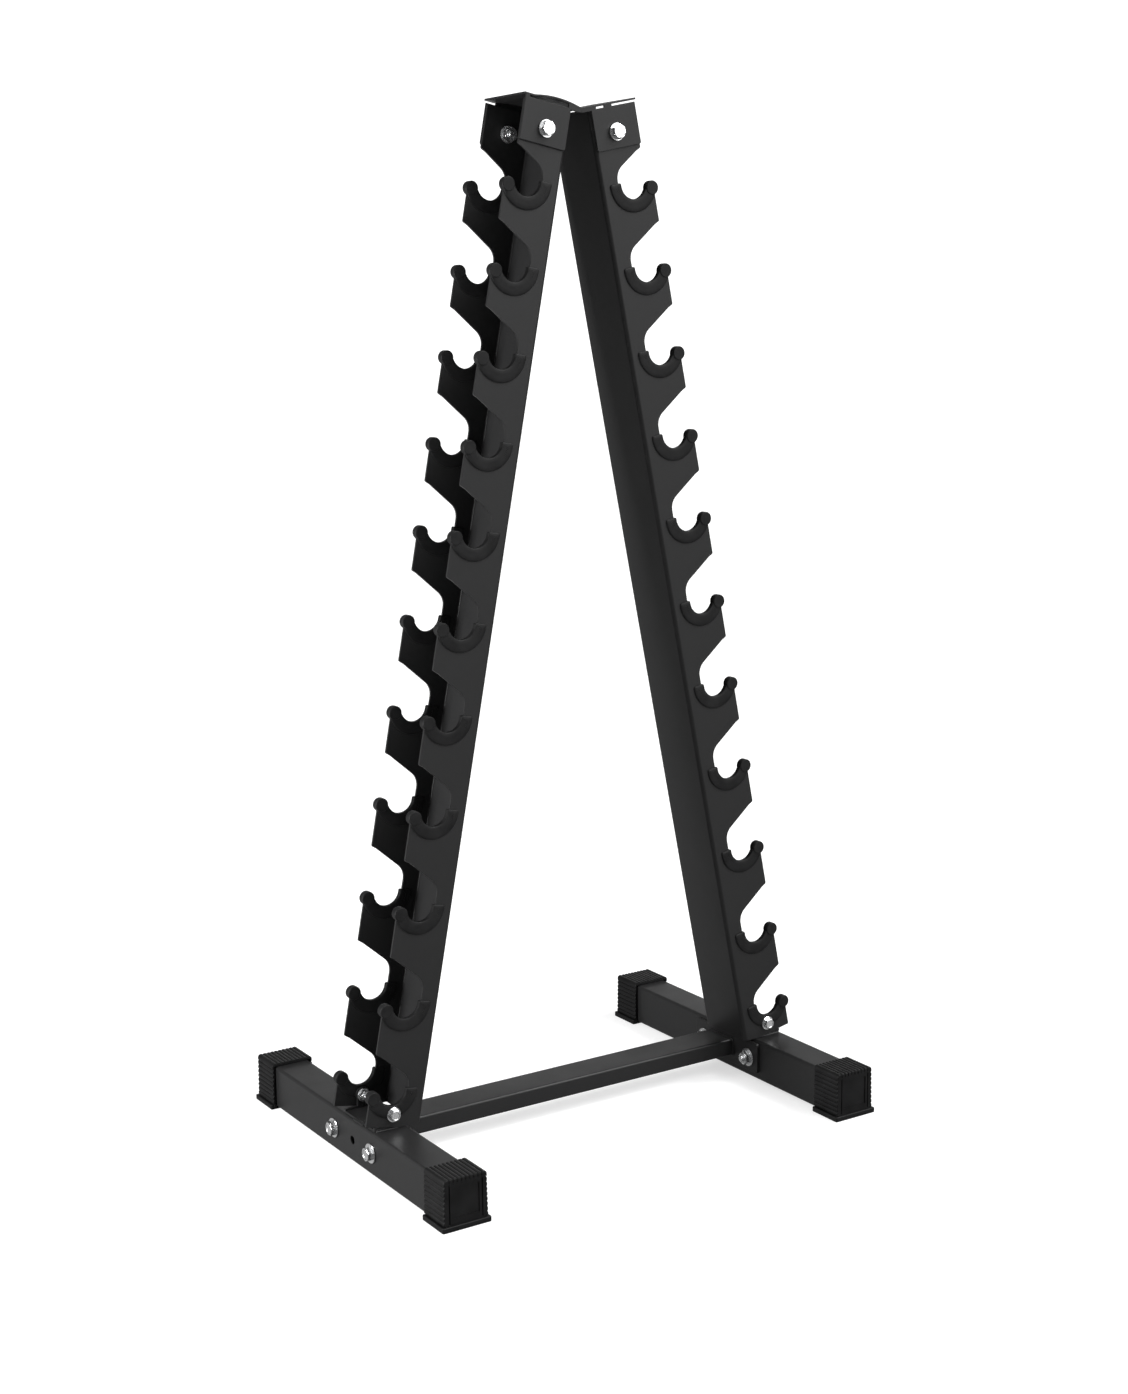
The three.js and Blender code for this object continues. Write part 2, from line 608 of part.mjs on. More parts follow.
function addChannelParts(side) {
  const group = channelGroup(side);
  rack.add(group);
  addMesh(group, `upright_${side}`, channel, finish.steel());
  // The left channel is the right one turned about Z, so its front flange lies at +y.
  const frontSign = side === 'left' ? 1 : -1;
  for (const [face, sign] of [['front', frontSign], ['back', -frontSign]]) {
    const turn = sign > 0 ? 0 : Math.PI;
    const top = addMesh(group, `bolt_top_${side}_${face}`, topFastener, finish.zinc());
    top.position.set(TOP_BOLT_T, sign * channelFastenerStart.top, -TOP_BOLT_S);
    top.rotation.z = turn;
    const foot = addMesh(group, `bolt_foot_${side}_${face}`, footFastener, finish.zinc());
    foot.position.set(FOOT_BOLT_T, sign * channelFastenerStart.foot, footBoltZ);
    foot.rotation.z = turn;
    for (const tier of tiers.filter((number) => number >= FIRST_LINED_TIER)) {
      const name = `liner_${side}_${face}_${String(tier).padStart(2, '0')}`;
      const solid = tier === TIERS ? lowestLiner : liner;
      const mesh = addMesh(group, name, solid, finish.rubber());
      mesh.position.set(0, sign * (CHANNEL_WIDTH / 2 - SHEET / 2), -cupDepth(tier));
    }
  }
}

function addFootParts(side) {
  const sign = side === 'left' ? -1 : 1;
  const middle = sign * (FOOT_SPACING / 2);
  addMesh(rack, `foot_${side}`, buildFoot(side), finish.steel());
  for (const [face, along] of [['front', -1], ['back', 1]]) {
    const end = addMesh(rack, `end_cap_${side}_${face}`, cap, finish.rubber());
    end.position.x = middle;
    end.rotation.z = along < 0 ? 0 : Math.PI;
    const bolt = addMesh(rack, `bolt_bar_${side}_${face}`, barFastener, finish.zinc());
    const boltY = PLATE_Y + (along * BAR_BOLT_SPACING) / 2;
    bolt.position.set(middle + (sign * TUBE_WIDTH) / 2, boltY, BAR_BOLT_Z);
    bolt.rotation.z = (-sign * Math.PI) / 2;
  }
}

for (const side of ['left', 'right']) {
  addChannelParts(side);
  addFootParts(side);
}
addMesh(rack, 'top_bracket', buildTopBracket(), finish.steel());
addMesh(rack, 'crossbar', buildCrossbar(), finish.steel());

export default rack;
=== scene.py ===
"""Looks of a dumbbell rack: two notched channel uprights on box-section feet with a low crossbar.

Lengths are millimetres until a mesh is made, and metres in Blender. X runs from foot to
foot, -Y is the front, +Z is up, and the floor is Z = 0.
"""

import math

import bmesh
import bpy
from mathutils import Matrix, Vector


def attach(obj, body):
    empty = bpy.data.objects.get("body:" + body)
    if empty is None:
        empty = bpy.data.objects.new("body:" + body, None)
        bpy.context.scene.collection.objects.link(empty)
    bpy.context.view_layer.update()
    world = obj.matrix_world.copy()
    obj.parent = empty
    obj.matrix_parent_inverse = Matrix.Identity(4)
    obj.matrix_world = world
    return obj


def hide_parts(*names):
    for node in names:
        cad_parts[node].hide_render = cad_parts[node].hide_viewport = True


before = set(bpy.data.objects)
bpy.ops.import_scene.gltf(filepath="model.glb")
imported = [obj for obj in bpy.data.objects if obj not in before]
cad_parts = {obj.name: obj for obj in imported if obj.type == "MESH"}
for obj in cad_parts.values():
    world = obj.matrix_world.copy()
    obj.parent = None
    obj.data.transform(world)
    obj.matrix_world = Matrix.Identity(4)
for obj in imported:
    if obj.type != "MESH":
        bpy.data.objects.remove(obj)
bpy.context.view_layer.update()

# ---------- driving dimensions ----------
MM = 0.001
FOOT_SPACING = 602.0
FOOT_LENGTH = 519.0  # over the end caps, above their base rims
TUBE_WIDTH = 50.0
TUBE_BOTTOM = 2.2  # the caps hold the tube off the floor
TUBE_TOP = 60.0
TUBE_WALL = 2.5
TUBE_CORNER = 4.0
GAP = 0.3  # between pieces that touch

CAP_WIDTH = 61.6
CAP_HEIGHT = 64.8
CAP_LENGTH = 48.6
CAP_END_WALL = 5.0
CAP_RIM = 2.8  # how far the base rim stands out
CAP_RIM_HEIGHT = 6.9
CAP_SKIN = 2.2
CAP_MOUTH_DEPTH = 14.0
CAP_CORNER = 1.8  # between the side ribs and the top ribs
CAP_GROOVE = 1.5
CAP_TOP_RIBS = 10
CAP_SIDE_RIBS = 9
CAP_DRAFT = 0.035  # share of its width that the cap loses by its top
CAP_FLUTE_X = 22.6
CAP_FLUTE_HALF = 0.8
CAP_FLUTE_DEPTH = 1.5
CAP_PANEL_X = 18.5
CAP_PANEL_DEPTH = 1.1
CAP_STROKE_HALF = 0.55  # the top grooves' ends, seen on the cap's face
CAP_STROKE_DEPTH = 0.9
CAP_STROKE_DROP = 5.5

LEAN = math.radians(11.16)
UPRIGHT_Y = -30.0
WEB_TOP_X = 13.0  # the web's outer face at the upright's top end
WEB_TOP_Z = 1308.4
CHANNEL_LENGTH = 1276.6
CHANNEL_WIDTH = 90.0
CHANNEL_DEPTH = 78.0  # over the teeth
TOP_DEPTH = 67.5  # above the first cup
CHANNEL_CORNER = 1.5
SHEET = 3.0
BEND_OUTER = 5.0

TIERS = 11
FIRST_CUP = 114.7  # from the upright's top end
TIER_PITCH = 103.9  # cup to cup at the top; the heavier rows are further apart
TIER_PITCH_GROWTH = 2.42
LAST_PITCH = 112.0
MOUTH_HEIGHT = 71.0  # from a cup's bottom to the tooth above
MOUTH_GROWTH = 0.75
FIRST_MOUTH = 60.0
LAST_MOUTH = 65.0
CUP_T = 47.6  # t runs outwards from the web's outer face
CUP_RADIUS = 18.8
LINER = 3.4
LINER_BAND = 16.4
LINER_HEEL = 4.0  # height of the band's back end over the cup's middle
LINER_HALF = 3.8
LINER_CORNER = 2.2
# (how far in from the band's edge, how far below its flank's highest face)
CROWN_PROFILE = ((0.0, 1.35), (0.25, 0.85), (0.8, 0.5), (2.0, 0.28), (4.0, 0.08), (6.0, 0.0))
NUB_HALF = 4.9
NUB_T = 73.9
NUB_RISE = 9.3  # nub centre above the cup's bottom
NUB_RADIUS = 8.2  # where the band runs into the nub
KNOB_RADIUS = 8.9  # over the nub
TIP_RADIUS = 5.0
TIP_FIT = 0.98  # trims the tip's second arc so that the two arcs don't quite meet
BACK_FILLET = 20.0
TOOTH_STEP = 7.5
TOOTH_STEP_RISE = 3.0
STEP_FILLET = 3.0
TOOTH_CORNER = 2.5
MOUTH_SLOPE = math.tan(math.radians(30.0))
FIRST_LINED_NODE = 3  # the liners above this tier have no solid in the frame

BAR_Y = -5.0
BAR_DEPTH = 53.0
BAR_BOTTOM = 24.5
BAR_TOP = 48.5
BAR_WALL = 2.0
BAR_CORNER = 3.0
PLATE_Y = -15.0
PLATE_LENGTH = 142.0
PLATE_BOTTOM = 12.5
PLATE_TOP = 56.0
PLATE_THICKNESS = 4.0
PLATE_CORNER = 4.0
BAR_BOLT_Z = 32.0
BAR_BOLT_SPACING = 102.0
BAR_HOLES = [PLATE_Y + share * BAR_BOLT_SPACING for share in (0.5, 0, -0.5)]

BRACKET_SHEET = 2.5
BRACKET_LIFT = 3.4  # the plate's underside above the uprights' ends
FLAP_LENGTH = 50.0
FLAP_START = 2.0
FLAP_PAST = 0.5
FLAP_RISE = 1.2
FLAP_CORNER = 2.5
FOLD_ROOT = 1.5
PLATE_OVERHANG = 2.5
APEX = -13.0
# stretches along t where a flap is joined to the plate; light shows through between them
FOLDS = {
    "left": {"front": ((APEX, 6.0), (62.0, 68.0)), "back": ((APEX, 54.0),)},
    "right": {"front": ((APEX, 9.5), (21.5, 33.0)), "back": ((APEX, 9.5), (21.5, 33.0))},
}
CROWN_LEFT = 4.0  # the plate's left half is arched this much
CROWN_END = 55.0
TOP_BOLT_T = 33.5
TOP_BOLT_S = 30.2  # down from the upright's top end
FOOT_BOLT_T = 41.5
FOOT_BOLT_DROP = 11.5  # below the lowest cup's bottom
EAR_THICKNESS = 4.0
EAR_BASE = 3.0  # thickness of the bracket's web, which lies on the foot
EAR_SHOULDER = 3.0
EAR_WIDTH = 44.0
EAR_NECK = 8.0
EAR_TOP_RADIUS = 10.0
EAR_OUT = CHANNEL_WIDTH / 2 - SHEET - GAP  # an ear's outer face, from the upright's middle

# radii of shank and hole, width over flats, heights of head and nut, and the thread's pitch
M8 = {"radius": 4.0, "hole": 4.5, "flats": 13.0, "head": 5.3, "nut": 6.8, "pitch": 1.25}
M10 = {"radius": 5.0, "hole": 5.6, "flats": 16.5, "head": 6.5, "nut": 8.0, "pitch": 1.5}
WASHER_THICKNESS = 1.8
BOLT_TAIL = 4.0
TOP_WASHER = 10.8
CHANNEL_FOOT_WASHER = 9.6
EAR_WASHER = 8.5
BAR_WASHER = 12.8

SIDES = ("left", "right")


# ---------- outlines ----------
def rounded(corners, step=6.0):
    """A polygon whose corners (a, b, radius) are rounded by arcs."""
    points = []
    count = len(corners)
    for i, (a, b, radius) in enumerate(corners):
        if not radius:
            points.append((a, b))
            continue
        here = Vector((a, b))
        back = (Vector(corners[i - 1][:2]) - here).normalized()
        ahead = (Vector(corners[(i + 1) % count][:2]) - here).normalized()
        half = math.acos(max(-1.0, min(1.0, back.dot(ahead)))) / 2
        start = here + back * (radius / math.tan(half))
        centre = here + (back + ahead).normalized() * (radius / math.sin(half))
        turn = math.copysign(math.pi - 2 * half, ahead.x * back.y - ahead.y * back.x)
        steps = max(1, math.ceil(abs(turn) / math.radians(step) - 0.01))
        arm = start - centre
        for k in range(steps + 1):
            c, s = math.cos(turn * k / steps), math.sin(turn * k / steps)
            points.append((centre.x + arm.x * c - arm.y * s, centre.y + arm.x * s + arm.y * c))
    return points


def arc(a, b, radius, start, end, steps):
    """Points on a circle about (a, b), from one angle in degrees to another."""
    angles = [math.radians(start + (end - start) * k / steps) for k in range(steps + 1)]
    return [(a + radius * math.cos(q), b + radius * math.sin(q)) for q in angles]


def rectangle(a0, a1, b0, b1, radius):
    return rounded([(a0, b0, radius), (a1, b0, radius), (a1, b1, radius), (a0, b1, radius)], 15)


def cup_depth(tier):
    """Distance down the channel from its top edge to the bottom of a lined cup."""
    steps = min(tier, TIERS - 1) - 1
    depth = FIRST_CUP + TIER_PITCH * steps + TIER_PITCH_GROWTH * steps * (steps - 1) / 2
    return depth + LAST_PITCH if tier == TIERS else depth


def mouth_height(tier):
    if tier == 1:
        return FIRST_MOUTH
    if tier == TIERS:
        return LAST_MOUTH
    return MOUTH_HEIGHT + MOUTH_GROWTH * (tier - 2)


def cup_corners(layer, tip):
    """A cup about its lined bottom, from the tooth's tip round to the back wall."""
    radius = CUP_RADIUS + layer
    across = NUB_T - CUP_T
    drop = CUP_RADIUS - NUB_RISE
    touch = math.atan2(drop, across) + math.acos((radius + tip) / math.hypot(across, drop))
    touch_t = CUP_T + radius * math.cos(touch)
    touch_z = CUP_RADIUS - radius * math.sin(touch)

    def wall(z):
        return touch_t + (z - touch_z) * math.tan(touch)

    top = NUB_RISE + tip
    return [(wall(top), top, tip), (wall(-layer), -layer, radius), (CUP_T - radius, -layer, radius)]


# ---------- meshes ----------
class Skin:
    """A sheet: two matching skins, and the cut edges that join them."""

    def __init__(self):
        self.outer = []
        self.inner = []
        self.index = {}
        self.faces = []

    def point(self, outer, inner):
        key = tuple(round(c, 3) for c in (*outer, *inner))
        if key not in self.index:
            self.index[key] = len(self.outer)
            self.outer.append(outer)
            self.inner.append(inner)
        return self.index[key]

    def face(self, pairs):
        loop = []
        for pair in pairs:
            i = self.point(*pair)
            if not loop or loop[-1] != i:
                loop.append(i)
        if loop[0] == loop[-1]:
            loop.pop()
        self.faces.append(loop)

    def solid(self):
        count = len(self.outer)
        faces = [list(loop) for loop in self.faces]
        faces += [[i + count for i in reversed(loop)] for loop in self.faces]
        uses = {}
        for loop in self.faces:
            for a, b in zip(loop, loop[1:] + loop[:1]):
                uses.setdefault(frozenset((a, b)), []).append((a, b))
        for found in uses.values():
            if len(found) == 1:
                a, b = found[0]
                faces.append([b, a, a + count, b + count])
        return self.outer + self.inner, faces


def loft(rings, closed=True):
    """Rings of equally many points joined by quads, with a flat face on each end if closed."""
    points = [p for ring in rings for p in ring]
    size = len(rings[0])
    faces = []
    for k in range(len(rings) - 1):
        for i in range(size):
            j = (i + 1) % size
            faces.append([k * size + i, k * size + j, (k + 1) * size + j, (k + 1) * size + i])
    if closed:
        faces.append(list(range(size - 1, -1, -1)))
        faces.append([(len(rings) - 1) * size + i for i in range(size)])
    return points, faces


def prism_y(outline, y0, y1):
    """An outline drawn in (x, z) and run along y."""
    return loft([[(x, y, z) for x, z in outline] for y in (y0, y1)])


def prism_z(outline, z0, z1):
    return loft([[(x, y, z) for x, y in outline] for z in (z0, z1)])


def box(x0, x1, y0, y1, z0, z1):
    return prism_z([(x0, y0), (x1, y0), (x1, y1), (x0, y1)], z0, z1)


def make_mesh(name, shells, place=None):
    """A mesh in metres from shells of (points, faces) in millimetres."""
    place = place or Matrix()
    bm = bmesh.new()
    for points, faces in shells:
        made = [bm.verts.new((place @ Vector(p)) * MM) for p in points]
        for face in faces:
            bm.faces.new([made[i] for i in face])
    bmesh.ops.recalc_face_normals(bm, faces=bm.faces)
    mesh = bpy.data.meshes.new(name)
    bm.to_mesh(mesh)
    bm.free()
    return mesh


def work_object(mesh):
    obj = bpy.data.objects.new(mesh.name, mesh)
    bpy.context.scene.collection.objects.link(obj)
    return obj


def bake(mesh, bevel=0.0, segments=2, limit=50.0, joins=(), cuts=(), sharp=50.0):
    """The mesh with its edges rounded, and with other meshes joined to it or cut from it."""
    obj = work_object(mesh)
    others = []
    if bevel:
        rounding = obj.modifiers.new("rounding", "BEVEL")
        rounding.width = bevel * MM
        rounding.segments = segments
        rounding.limit_method = "ANGLE"
        rounding.angle_limit = math.radians(limit)
        rounding.use_clamp_overlap = True
    for operation, meshes in (("UNION", joins), ("DIFFERENCE", cuts)):
        for other in meshes:
            others.append(work_object(other))
            step = obj.modifiers.new("boolean", "BOOLEAN")
            step.operation = operation
            step.solver = "MANIFOLD"
            step.object = others[-1]
    depsgraph = bpy.context.evaluated_depsgraph_get()
    result = bpy.data.meshes.new_from_object(obj.evaluated_get(depsgraph))
    result.name = mesh.name
    for extra in [obj, *others]:
        bpy.data.objects.remove(extra)
    result.shade_smooth()
    result.set_sharp_from_angle(angle=math.radians(sharp))
    return result


def join_meshes(name, meshes):
    bm = bmesh.new()
    for mesh in meshes:
        bm.from_mesh(mesh)
    whole = bpy.data.meshes.new(name)
    bm.to_mesh(whole)
    bm.free()
    return whole


def in_metres(place):
    moved = place.copy()
    moved.translation = moved.translation * MM
    return moved


def add_piece(name, mesh, material, replaces=(), place=None):
    """A piece of the rack. Its place goes into its mesh, so its bounds are tight in the row frame."""
    if place is not None:
        mesh = mesh.copy()
        mesh.transform(in_metres(place))
    obj = bpy.data.objects.new(name, mesh)
    bpy.context.scene.collection.objects.link(obj)
    mesh.materials.clear()
    mesh.materials.append(material)
    even = obj.modifiers.new("even_normals", "WEIGHTED_NORMAL")
    even.keep_sharp = True
    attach(obj, "root")
    if replaces:
        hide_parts(*replaces)
    return obj


# ---------- materials ----------
def node_material(name):
    material = bpy.data.materials.new(name)
    material.use_nodes = True
    return material, material.node_tree, material.node_tree.nodes["Principled BSDF"]


def coordinates(tree):
    return tree.nodes.new("ShaderNodeTexCoord").outputs["Object"]


def noise(tree, where, scale, detail=2.0, roughness=0.5):
    node = tree.nodes.new("ShaderNodeTexNoise")
    node.inputs["Scale"].default_value = scale
    node.inputs["Detail"].default_value = detail
    node.inputs["Roughness"].default_value = roughness
    tree.links.new(where, node.inputs["Vector"])
    return node.outputs["Fac"]


def mapped(tree, value, low, high):
    node = tree.nodes.new("ShaderNodeMapRange")
    node.inputs["From Min"].default_value = 0.3
    node.inputs["From Max"].default_value = 0.7
    node.inputs["To Min"].default_value = low
    node.inputs["To Max"].default_value = high
    tree.links.new(value, node.inputs["Value"])
    return node.outputs["Result"]


def tinted(tree, factor, dark, light):
    node = tree.nodes.new("ShaderNodeMix")
    node.data_type = "RGBA"
    node.inputs["A"].default_value = (*dark, 1.0)
    node.inputs["B"].default_value = (*light, 1.0)
    tree.links.new(factor, node.inputs["Factor"])
    return node.outputs["Result"]


def bump(tree, height, distance, strength=1.0, under=None):
    node = tree.nodes.new("ShaderNodeBump")
    node.inputs["Distance"].default_value = distance
    node.inputs["Strength"].default_value = strength
    tree.links.new(height, node.inputs["Height"])
    if under is not None:
        tree.links.new(under, node.inputs["Normal"])
    return node.outputs["Normal"]


def powder_coat():
    material, tree, shader = node_material("powder_coat")
    shader.inputs["Specular IOR Level"].default_value = 0.27
    where = coordinates(tree)
    broad = noise(tree, where, 14.0, 3.0)
    peel = noise(tree, where, 900.0, 2.0, 0.6)
    speck = noise(tree, where, 2600.0, 1.0)
    color = tinted(tree, mapped(tree, speck, 0.0, 1.0), (0.008, 0.008, 0.0082), (0.012, 0.012, 0.0123))
    tree.links.new(color, shader.inputs["Base Color"])
    tree.links.new(mapped(tree, broad, 0.40, 0.47), shader.inputs["Roughness"])
    fine = bump(tree, speck, 0.00002, 0.5)
    tree.links.new(bump(tree, peel, 0.00006, 0.5, fine), shader.inputs["Normal"])
    return material


def rubber():
    material, tree, shader = node_material("liner_rubber")
    shader.inputs["Specular IOR Level"].default_value = 0.13
    where = coordinates(tree)
    grain = noise(tree, where, 1500.0, 3.0, 0.6)
    broad = noise(tree, where, 60.0, 3.0)
    color = tinted(tree, mapped(tree, broad, 0.0, 1.0), (0.006, 0.006, 0.0062), (0.010, 0.010, 0.0102))
    tree.links.new(color, shader.inputs["Base Color"])
    tree.links.new(mapped(tree, broad, 0.42, 0.50), shader.inputs["Roughness"])
    tree.links.new(bump(tree, grain, 0.00005, 0.6), shader.inputs["Normal"])
    return material


def cap_plastic():
    material, tree, shader = node_material("cap_plastic")
    shader.inputs["Specular IOR Level"].default_value = 0.19
    where = coordinates(tree)
    grain = noise(tree, where, 1100.0, 3.0, 0.65)
    broad = noise(tree, where, 45.0, 4.0)
    color = tinted(tree, mapped(tree, broad, 0.0, 1.0), (0.002, 0.002, 0.0021), (0.0045, 0.0045, 0.0047))
    tree.links.new(color, shader.inputs["Base Color"])
    tree.links.new(mapped(tree, broad, 0.44, 0.56), shader.inputs["Roughness"])
    tree.links.new(bump(tree, grain, 0.00006, 0.7), shader.inputs["Normal"])
    return material


def zinc():
    material, tree, shader = node_material("zinc_plate")
    shader.inputs["Metallic"].default_value = 1.0
    where = coordinates(tree)
    brushed = noise(tree, where, 700.0, 4.0, 0.6)
    patches = noise(tree, where, 160.0, 3.0)
    color = tinted(tree, mapped(tree, patches, 0.0, 1.0), (0.84, 0.85, 0.86), (0.95, 0.955, 0.96))
    tree.links.new(color, shader.inputs["Base Color"])
    tree.links.new(mapped(tree, brushed, 0.16, 0.30), shader.inputs["Roughness"])
    tree.links.new(bump(tree, brushed, 0.00001, 0.15), shader.inputs["Normal"])
    return material


STEEL = powder_coat()
RUBBER = rubber()
PLASTIC = cap_plastic()
ZINC = zinc()


# ---------- faces with holes ----------
def half_hole(holes, level, side):
    """The half of a hole at this level that lies on one side of it, going up in a."""
    if level not in holes:
        return []
    a, radius = holes[level]
    return arc(a, level, radius, 180, 180 - side * 180, 12)


def rows(levels, near, far, holes):
    """Faces between falling levels. near and far give the points down each side."""
    made = []
    for upper, lower in zip(levels, levels[1:]):
        left = near(upper, lower)
        right = far(upper, lower)
        top = half_hole(holes, upper, -1)
        bottom = half_hole(holes, lower, 1)
        made.append([*left[:1], *top, *right, *bottom[::-1], *left[:0:-1]])
    return made


# ---------- uprights ----------
def channel_place(side):
    place = Matrix.Translation((0, UPRIGHT_Y, 0))
    if side == "left":
        place = place @ Matrix.Rotation(math.pi, 4, "Z")
    return place @ Matrix.Translation((WEB_TOP_X, 0, WEB_TOP_Z)) @ Matrix.Rotation(-LEAN, 4, "Y")


FOOT_BOLT_Z = -(cup_depth(TIERS) + FOOT_BOLT_DROP)


def lower_edge(t):
    """Where the channel's end meets the horizontal cut just over the foot."""
    level = (TUBE_TOP + GAP - WEB_TOP_Z - t * math.sin(LEAN)) / math.cos(LEAN)
    return max(level, -CHANNEL_LENGTH)


def flange_outline():
    """The notched edge of a flange from its top corner down to its lower corner."""
    corners = [(0.0, 0.0, 0.0), (TOP_DEPTH, 0.0, CHANNEL_CORNER)]
    for tier in range(1, TIERS + 1):
        edge = TOP_DEPTH if tier == 1 else CHANNEL_DEPTH
        slope_t = edge - TOOTH_STEP
        depth = cup_depth(tier)
        mouth = mouth_height(tier)
        slope_z = mouth - TOOTH_STEP_RISE
        cup = cup_corners(LINER, TIP_RADIUS)
        wall = cup[-1][0]
        top = NUB_RISE + TIP_RADIUS
        corners.append((edge, mouth - depth, TOOTH_CORNER))
        corners.append((slope_t, slope_z - depth, STEP_FILLET))
        corners.append((wall, slope_z - (slope_t - wall) * MOUTH_SLOPE - depth, BACK_FILLET))
        corners += [(t, z - depth, radius) for t, z, radius in reversed(cup)]
        corners.append((CHANNEL_DEPTH, top - depth, TIP_RADIUS * TIP_FIT))
    corners.append((CHANNEL_DEPTH, -CHANNEL_LENGTH, CHANNEL_CORNER))
    corners.append((TOP_DEPTH / 2, -CHANNEL_LENGTH, 0.0))
    return rounded(corners)[1:-1]


def build_channel():
    outline = flange_outline()
    levels = [0.0, -TOP_BOLT_S]
    levels += [-cup_depth(tier) - 12.0 for tier in range(1, TIERS)]
    levels += [FOOT_BOLT_Z, -CHANNEL_LENGTH]
    holes = {-TOP_BOLT_S: (TOP_BOLT_T, M10["hole"]), FOOT_BOLT_Z: (FOOT_BOLT_T, M8["hole"])}

    def near(upper, lower):
        return [(BEND_OUTER, max(z, lower_edge(BEND_OUTER))) for z in (upper, lower)]

    def far(upper, lower):
        points = [p for p in outline if lower < p[1] < upper]
        if upper == 0.0:
            points = [p for p in outline if lower < p[1] <= 0.0]
        else:
            points.insert(0, (TOP_DEPTH if upper == -TOP_BOLT_S else CHANNEL_DEPTH, upper))
        if lower == -CHANNEL_LENGTH:
            reach = next(t for t in range(5, 60) if lower_edge(t) <= -CHANNEL_LENGTH)
            points = [p for p in points if p[1] > lower]
            points += [(CHANNEL_DEPTH - CHANNEL_CORNER, lower), (float(reach), lower)]
        else:
            points.append((TOP_DEPTH if lower == -TOP_BOLT_S else CHANNEL_DEPTH, lower))
        return points

    half = CHANNEL_WIDTH / 2
    inner_bend = BEND_OUTER - SHEET
    skin = Skin()
    for sign in (-1, 1):
        for face in rows(levels, near, far, holes):
            skin.face([((t, sign * half, z), (t, sign * (half - SHEET), z)) for t, z in face])

    bend_steps = 8
    columns = []
    for k in range(bend_steps + 1):
        q = math.radians(90.0 * k / bend_steps)
        s, c = math.sin(q), math.cos(q)
        outer = (BEND_OUTER - BEND_OUTER * s, -(half - BEND_OUTER + BEND_OUTER * c))
        inner = (BEND_OUTER - inner_bend * s, -(half - BEND_OUTER + inner_bend * c))
        columns.append((outer, inner))
    mirrored = [((o[0], -o[1]), (i[0], -i[1])) for o, i in reversed(columns)]
    columns += mirrored

    def column_point(column, level):
        outer, inner = column
        z = max(level, lower_edge(outer[0]))
        return ((*outer, z), (*inner, z))

    for first, second in zip(columns, columns[1:]):
        for upper, lower in zip(levels, levels[1:]):
            pairs = [(first, upper), (second, upper), (second, lower), (first, lower)]
            skin.face([column_point(column, level) for column, level in pairs])
    mesh = make_mesh("upright", [skin.solid()])
    return bake(mesh, bevel=0.55, segments=3)


# ---------- cup liners ----------
def circle(a, b, radius, steps=48):
    return arc(a, b, radius, 0, 360, steps)[:-1]


def band_outline(inset):
    """The liner's flank drawn in (t, z) about the cup, its edges moved in by inset."""
    outer = CUP_RADIUS + LINER_BAND - inset
    inner = CUP_RADIUS + inset
    heel = LINER_HEEL - inset
    corner = LINER_CORNER
    centre = (-math.sqrt((outer - corner) ** 2 - (heel - corner) ** 2), heel - corner)
    start = math.degrees(math.atan2(centre[1], centre[0])) % 360
    stop = 360 + math.degrees(math.asin((NUB_RISE - CUP_RADIUS) / outer))
    tangent = cup_corners(0.0, NUB_RADIUS)
    slope = math.atan2(tangent[0][1], tangent[0][0] - tangent[1][0])
    touch = math.degrees(slope) - 90.0
    touch_t = inner * math.cos(math.radians(touch))
    touch_z = inner * math.sin(math.radians(touch))
    end_t = touch_t + (NUB_RISE - CUP_RADIUS - touch_z) / math.tan(slope)
    points = arc(*centre, corner, 90, start, 5)
    points += arc(0.0, 0.0, outer, start, stop, 44)[1:]
    points.append((end_t, NUB_RISE - CUP_RADIUS))
    points += arc(0.0, 0.0, inner, touch, -180, 30)
    points += arc(-inner - corner, heel - corner, corner, 0, 90, 5)
    return [(CUP_T + t, CUP_RADIUS + z) for t, z in points]


def build_liner(lowest):
    """A moulding that grips a notch's edge, about its cup's bottom and the sheet's middle."""
    outer = CUP_RADIUS + LINER_BAND
    half = [(inset, LINER_HALF - drop) for inset, drop in CROWN_PROFILE]
    layers = half[::-1] + [(inset, -y) for inset, y in half]
    rings = [[(t, y, z) for t, z in band_outline(inset)] for inset, y in layers]
    band = make_mesh("liner", [loft(rings)])
    knob = circle(NUB_T, NUB_RISE, KNOB_RADIUS)
    nub = make_mesh("nub", [prism_y(knob, -NUB_HALF, NUB_HALF)])
    nub = bake(nub, bevel=1.2, segments=3, limit=60)

    reach = outer + 20.0
    edge = CHANNEL_DEPTH + GAP
    tip = TIP_RADIUS + GAP
    slot_half = SHEET / 2 + GAP
    sheet = rounded([
        (-10.0, -reach, 0.0),
        (edge, -reach, 0.0),
        (edge, NUB_RISE + tip, tip * TIP_FIT),
        *cup_corners(LINER - GAP, tip),
        (CUP_T - CUP_RADIUS - LINER + GAP, reach, 0.0),
        (-10.0, reach, 0.0),
    ])
    cuts = [make_mesh("slot", [prism_y(sheet, -slot_half, slot_half)])]
    if lowest:
        relief = max(EAR_TOP_RADIUS, CHANNEL_FOOT_WASHER) + 2 * GAP
        ring = circle(FOOT_BOLT_T, -FOOT_BOLT_DROP, relief)
        cuts.append(make_mesh("relief", [prism_y(ring, -10.0, -SHEET / 2)]))
        cuts.append(make_mesh("relief", [prism_y(ring, SHEET / 2, 10.0)]))
    return bake(band, joins=[nub], cuts=cuts)


# ---------- top bracket ----------
def crown_at(side, t):
    if side == "right":
        return 0.0
    along = (t + WEB_TOP_X) / (CROWN_END + WEB_TOP_X)
    return CROWN_LEFT * max(0.0, 1 - (2 * along - 1) ** 2)


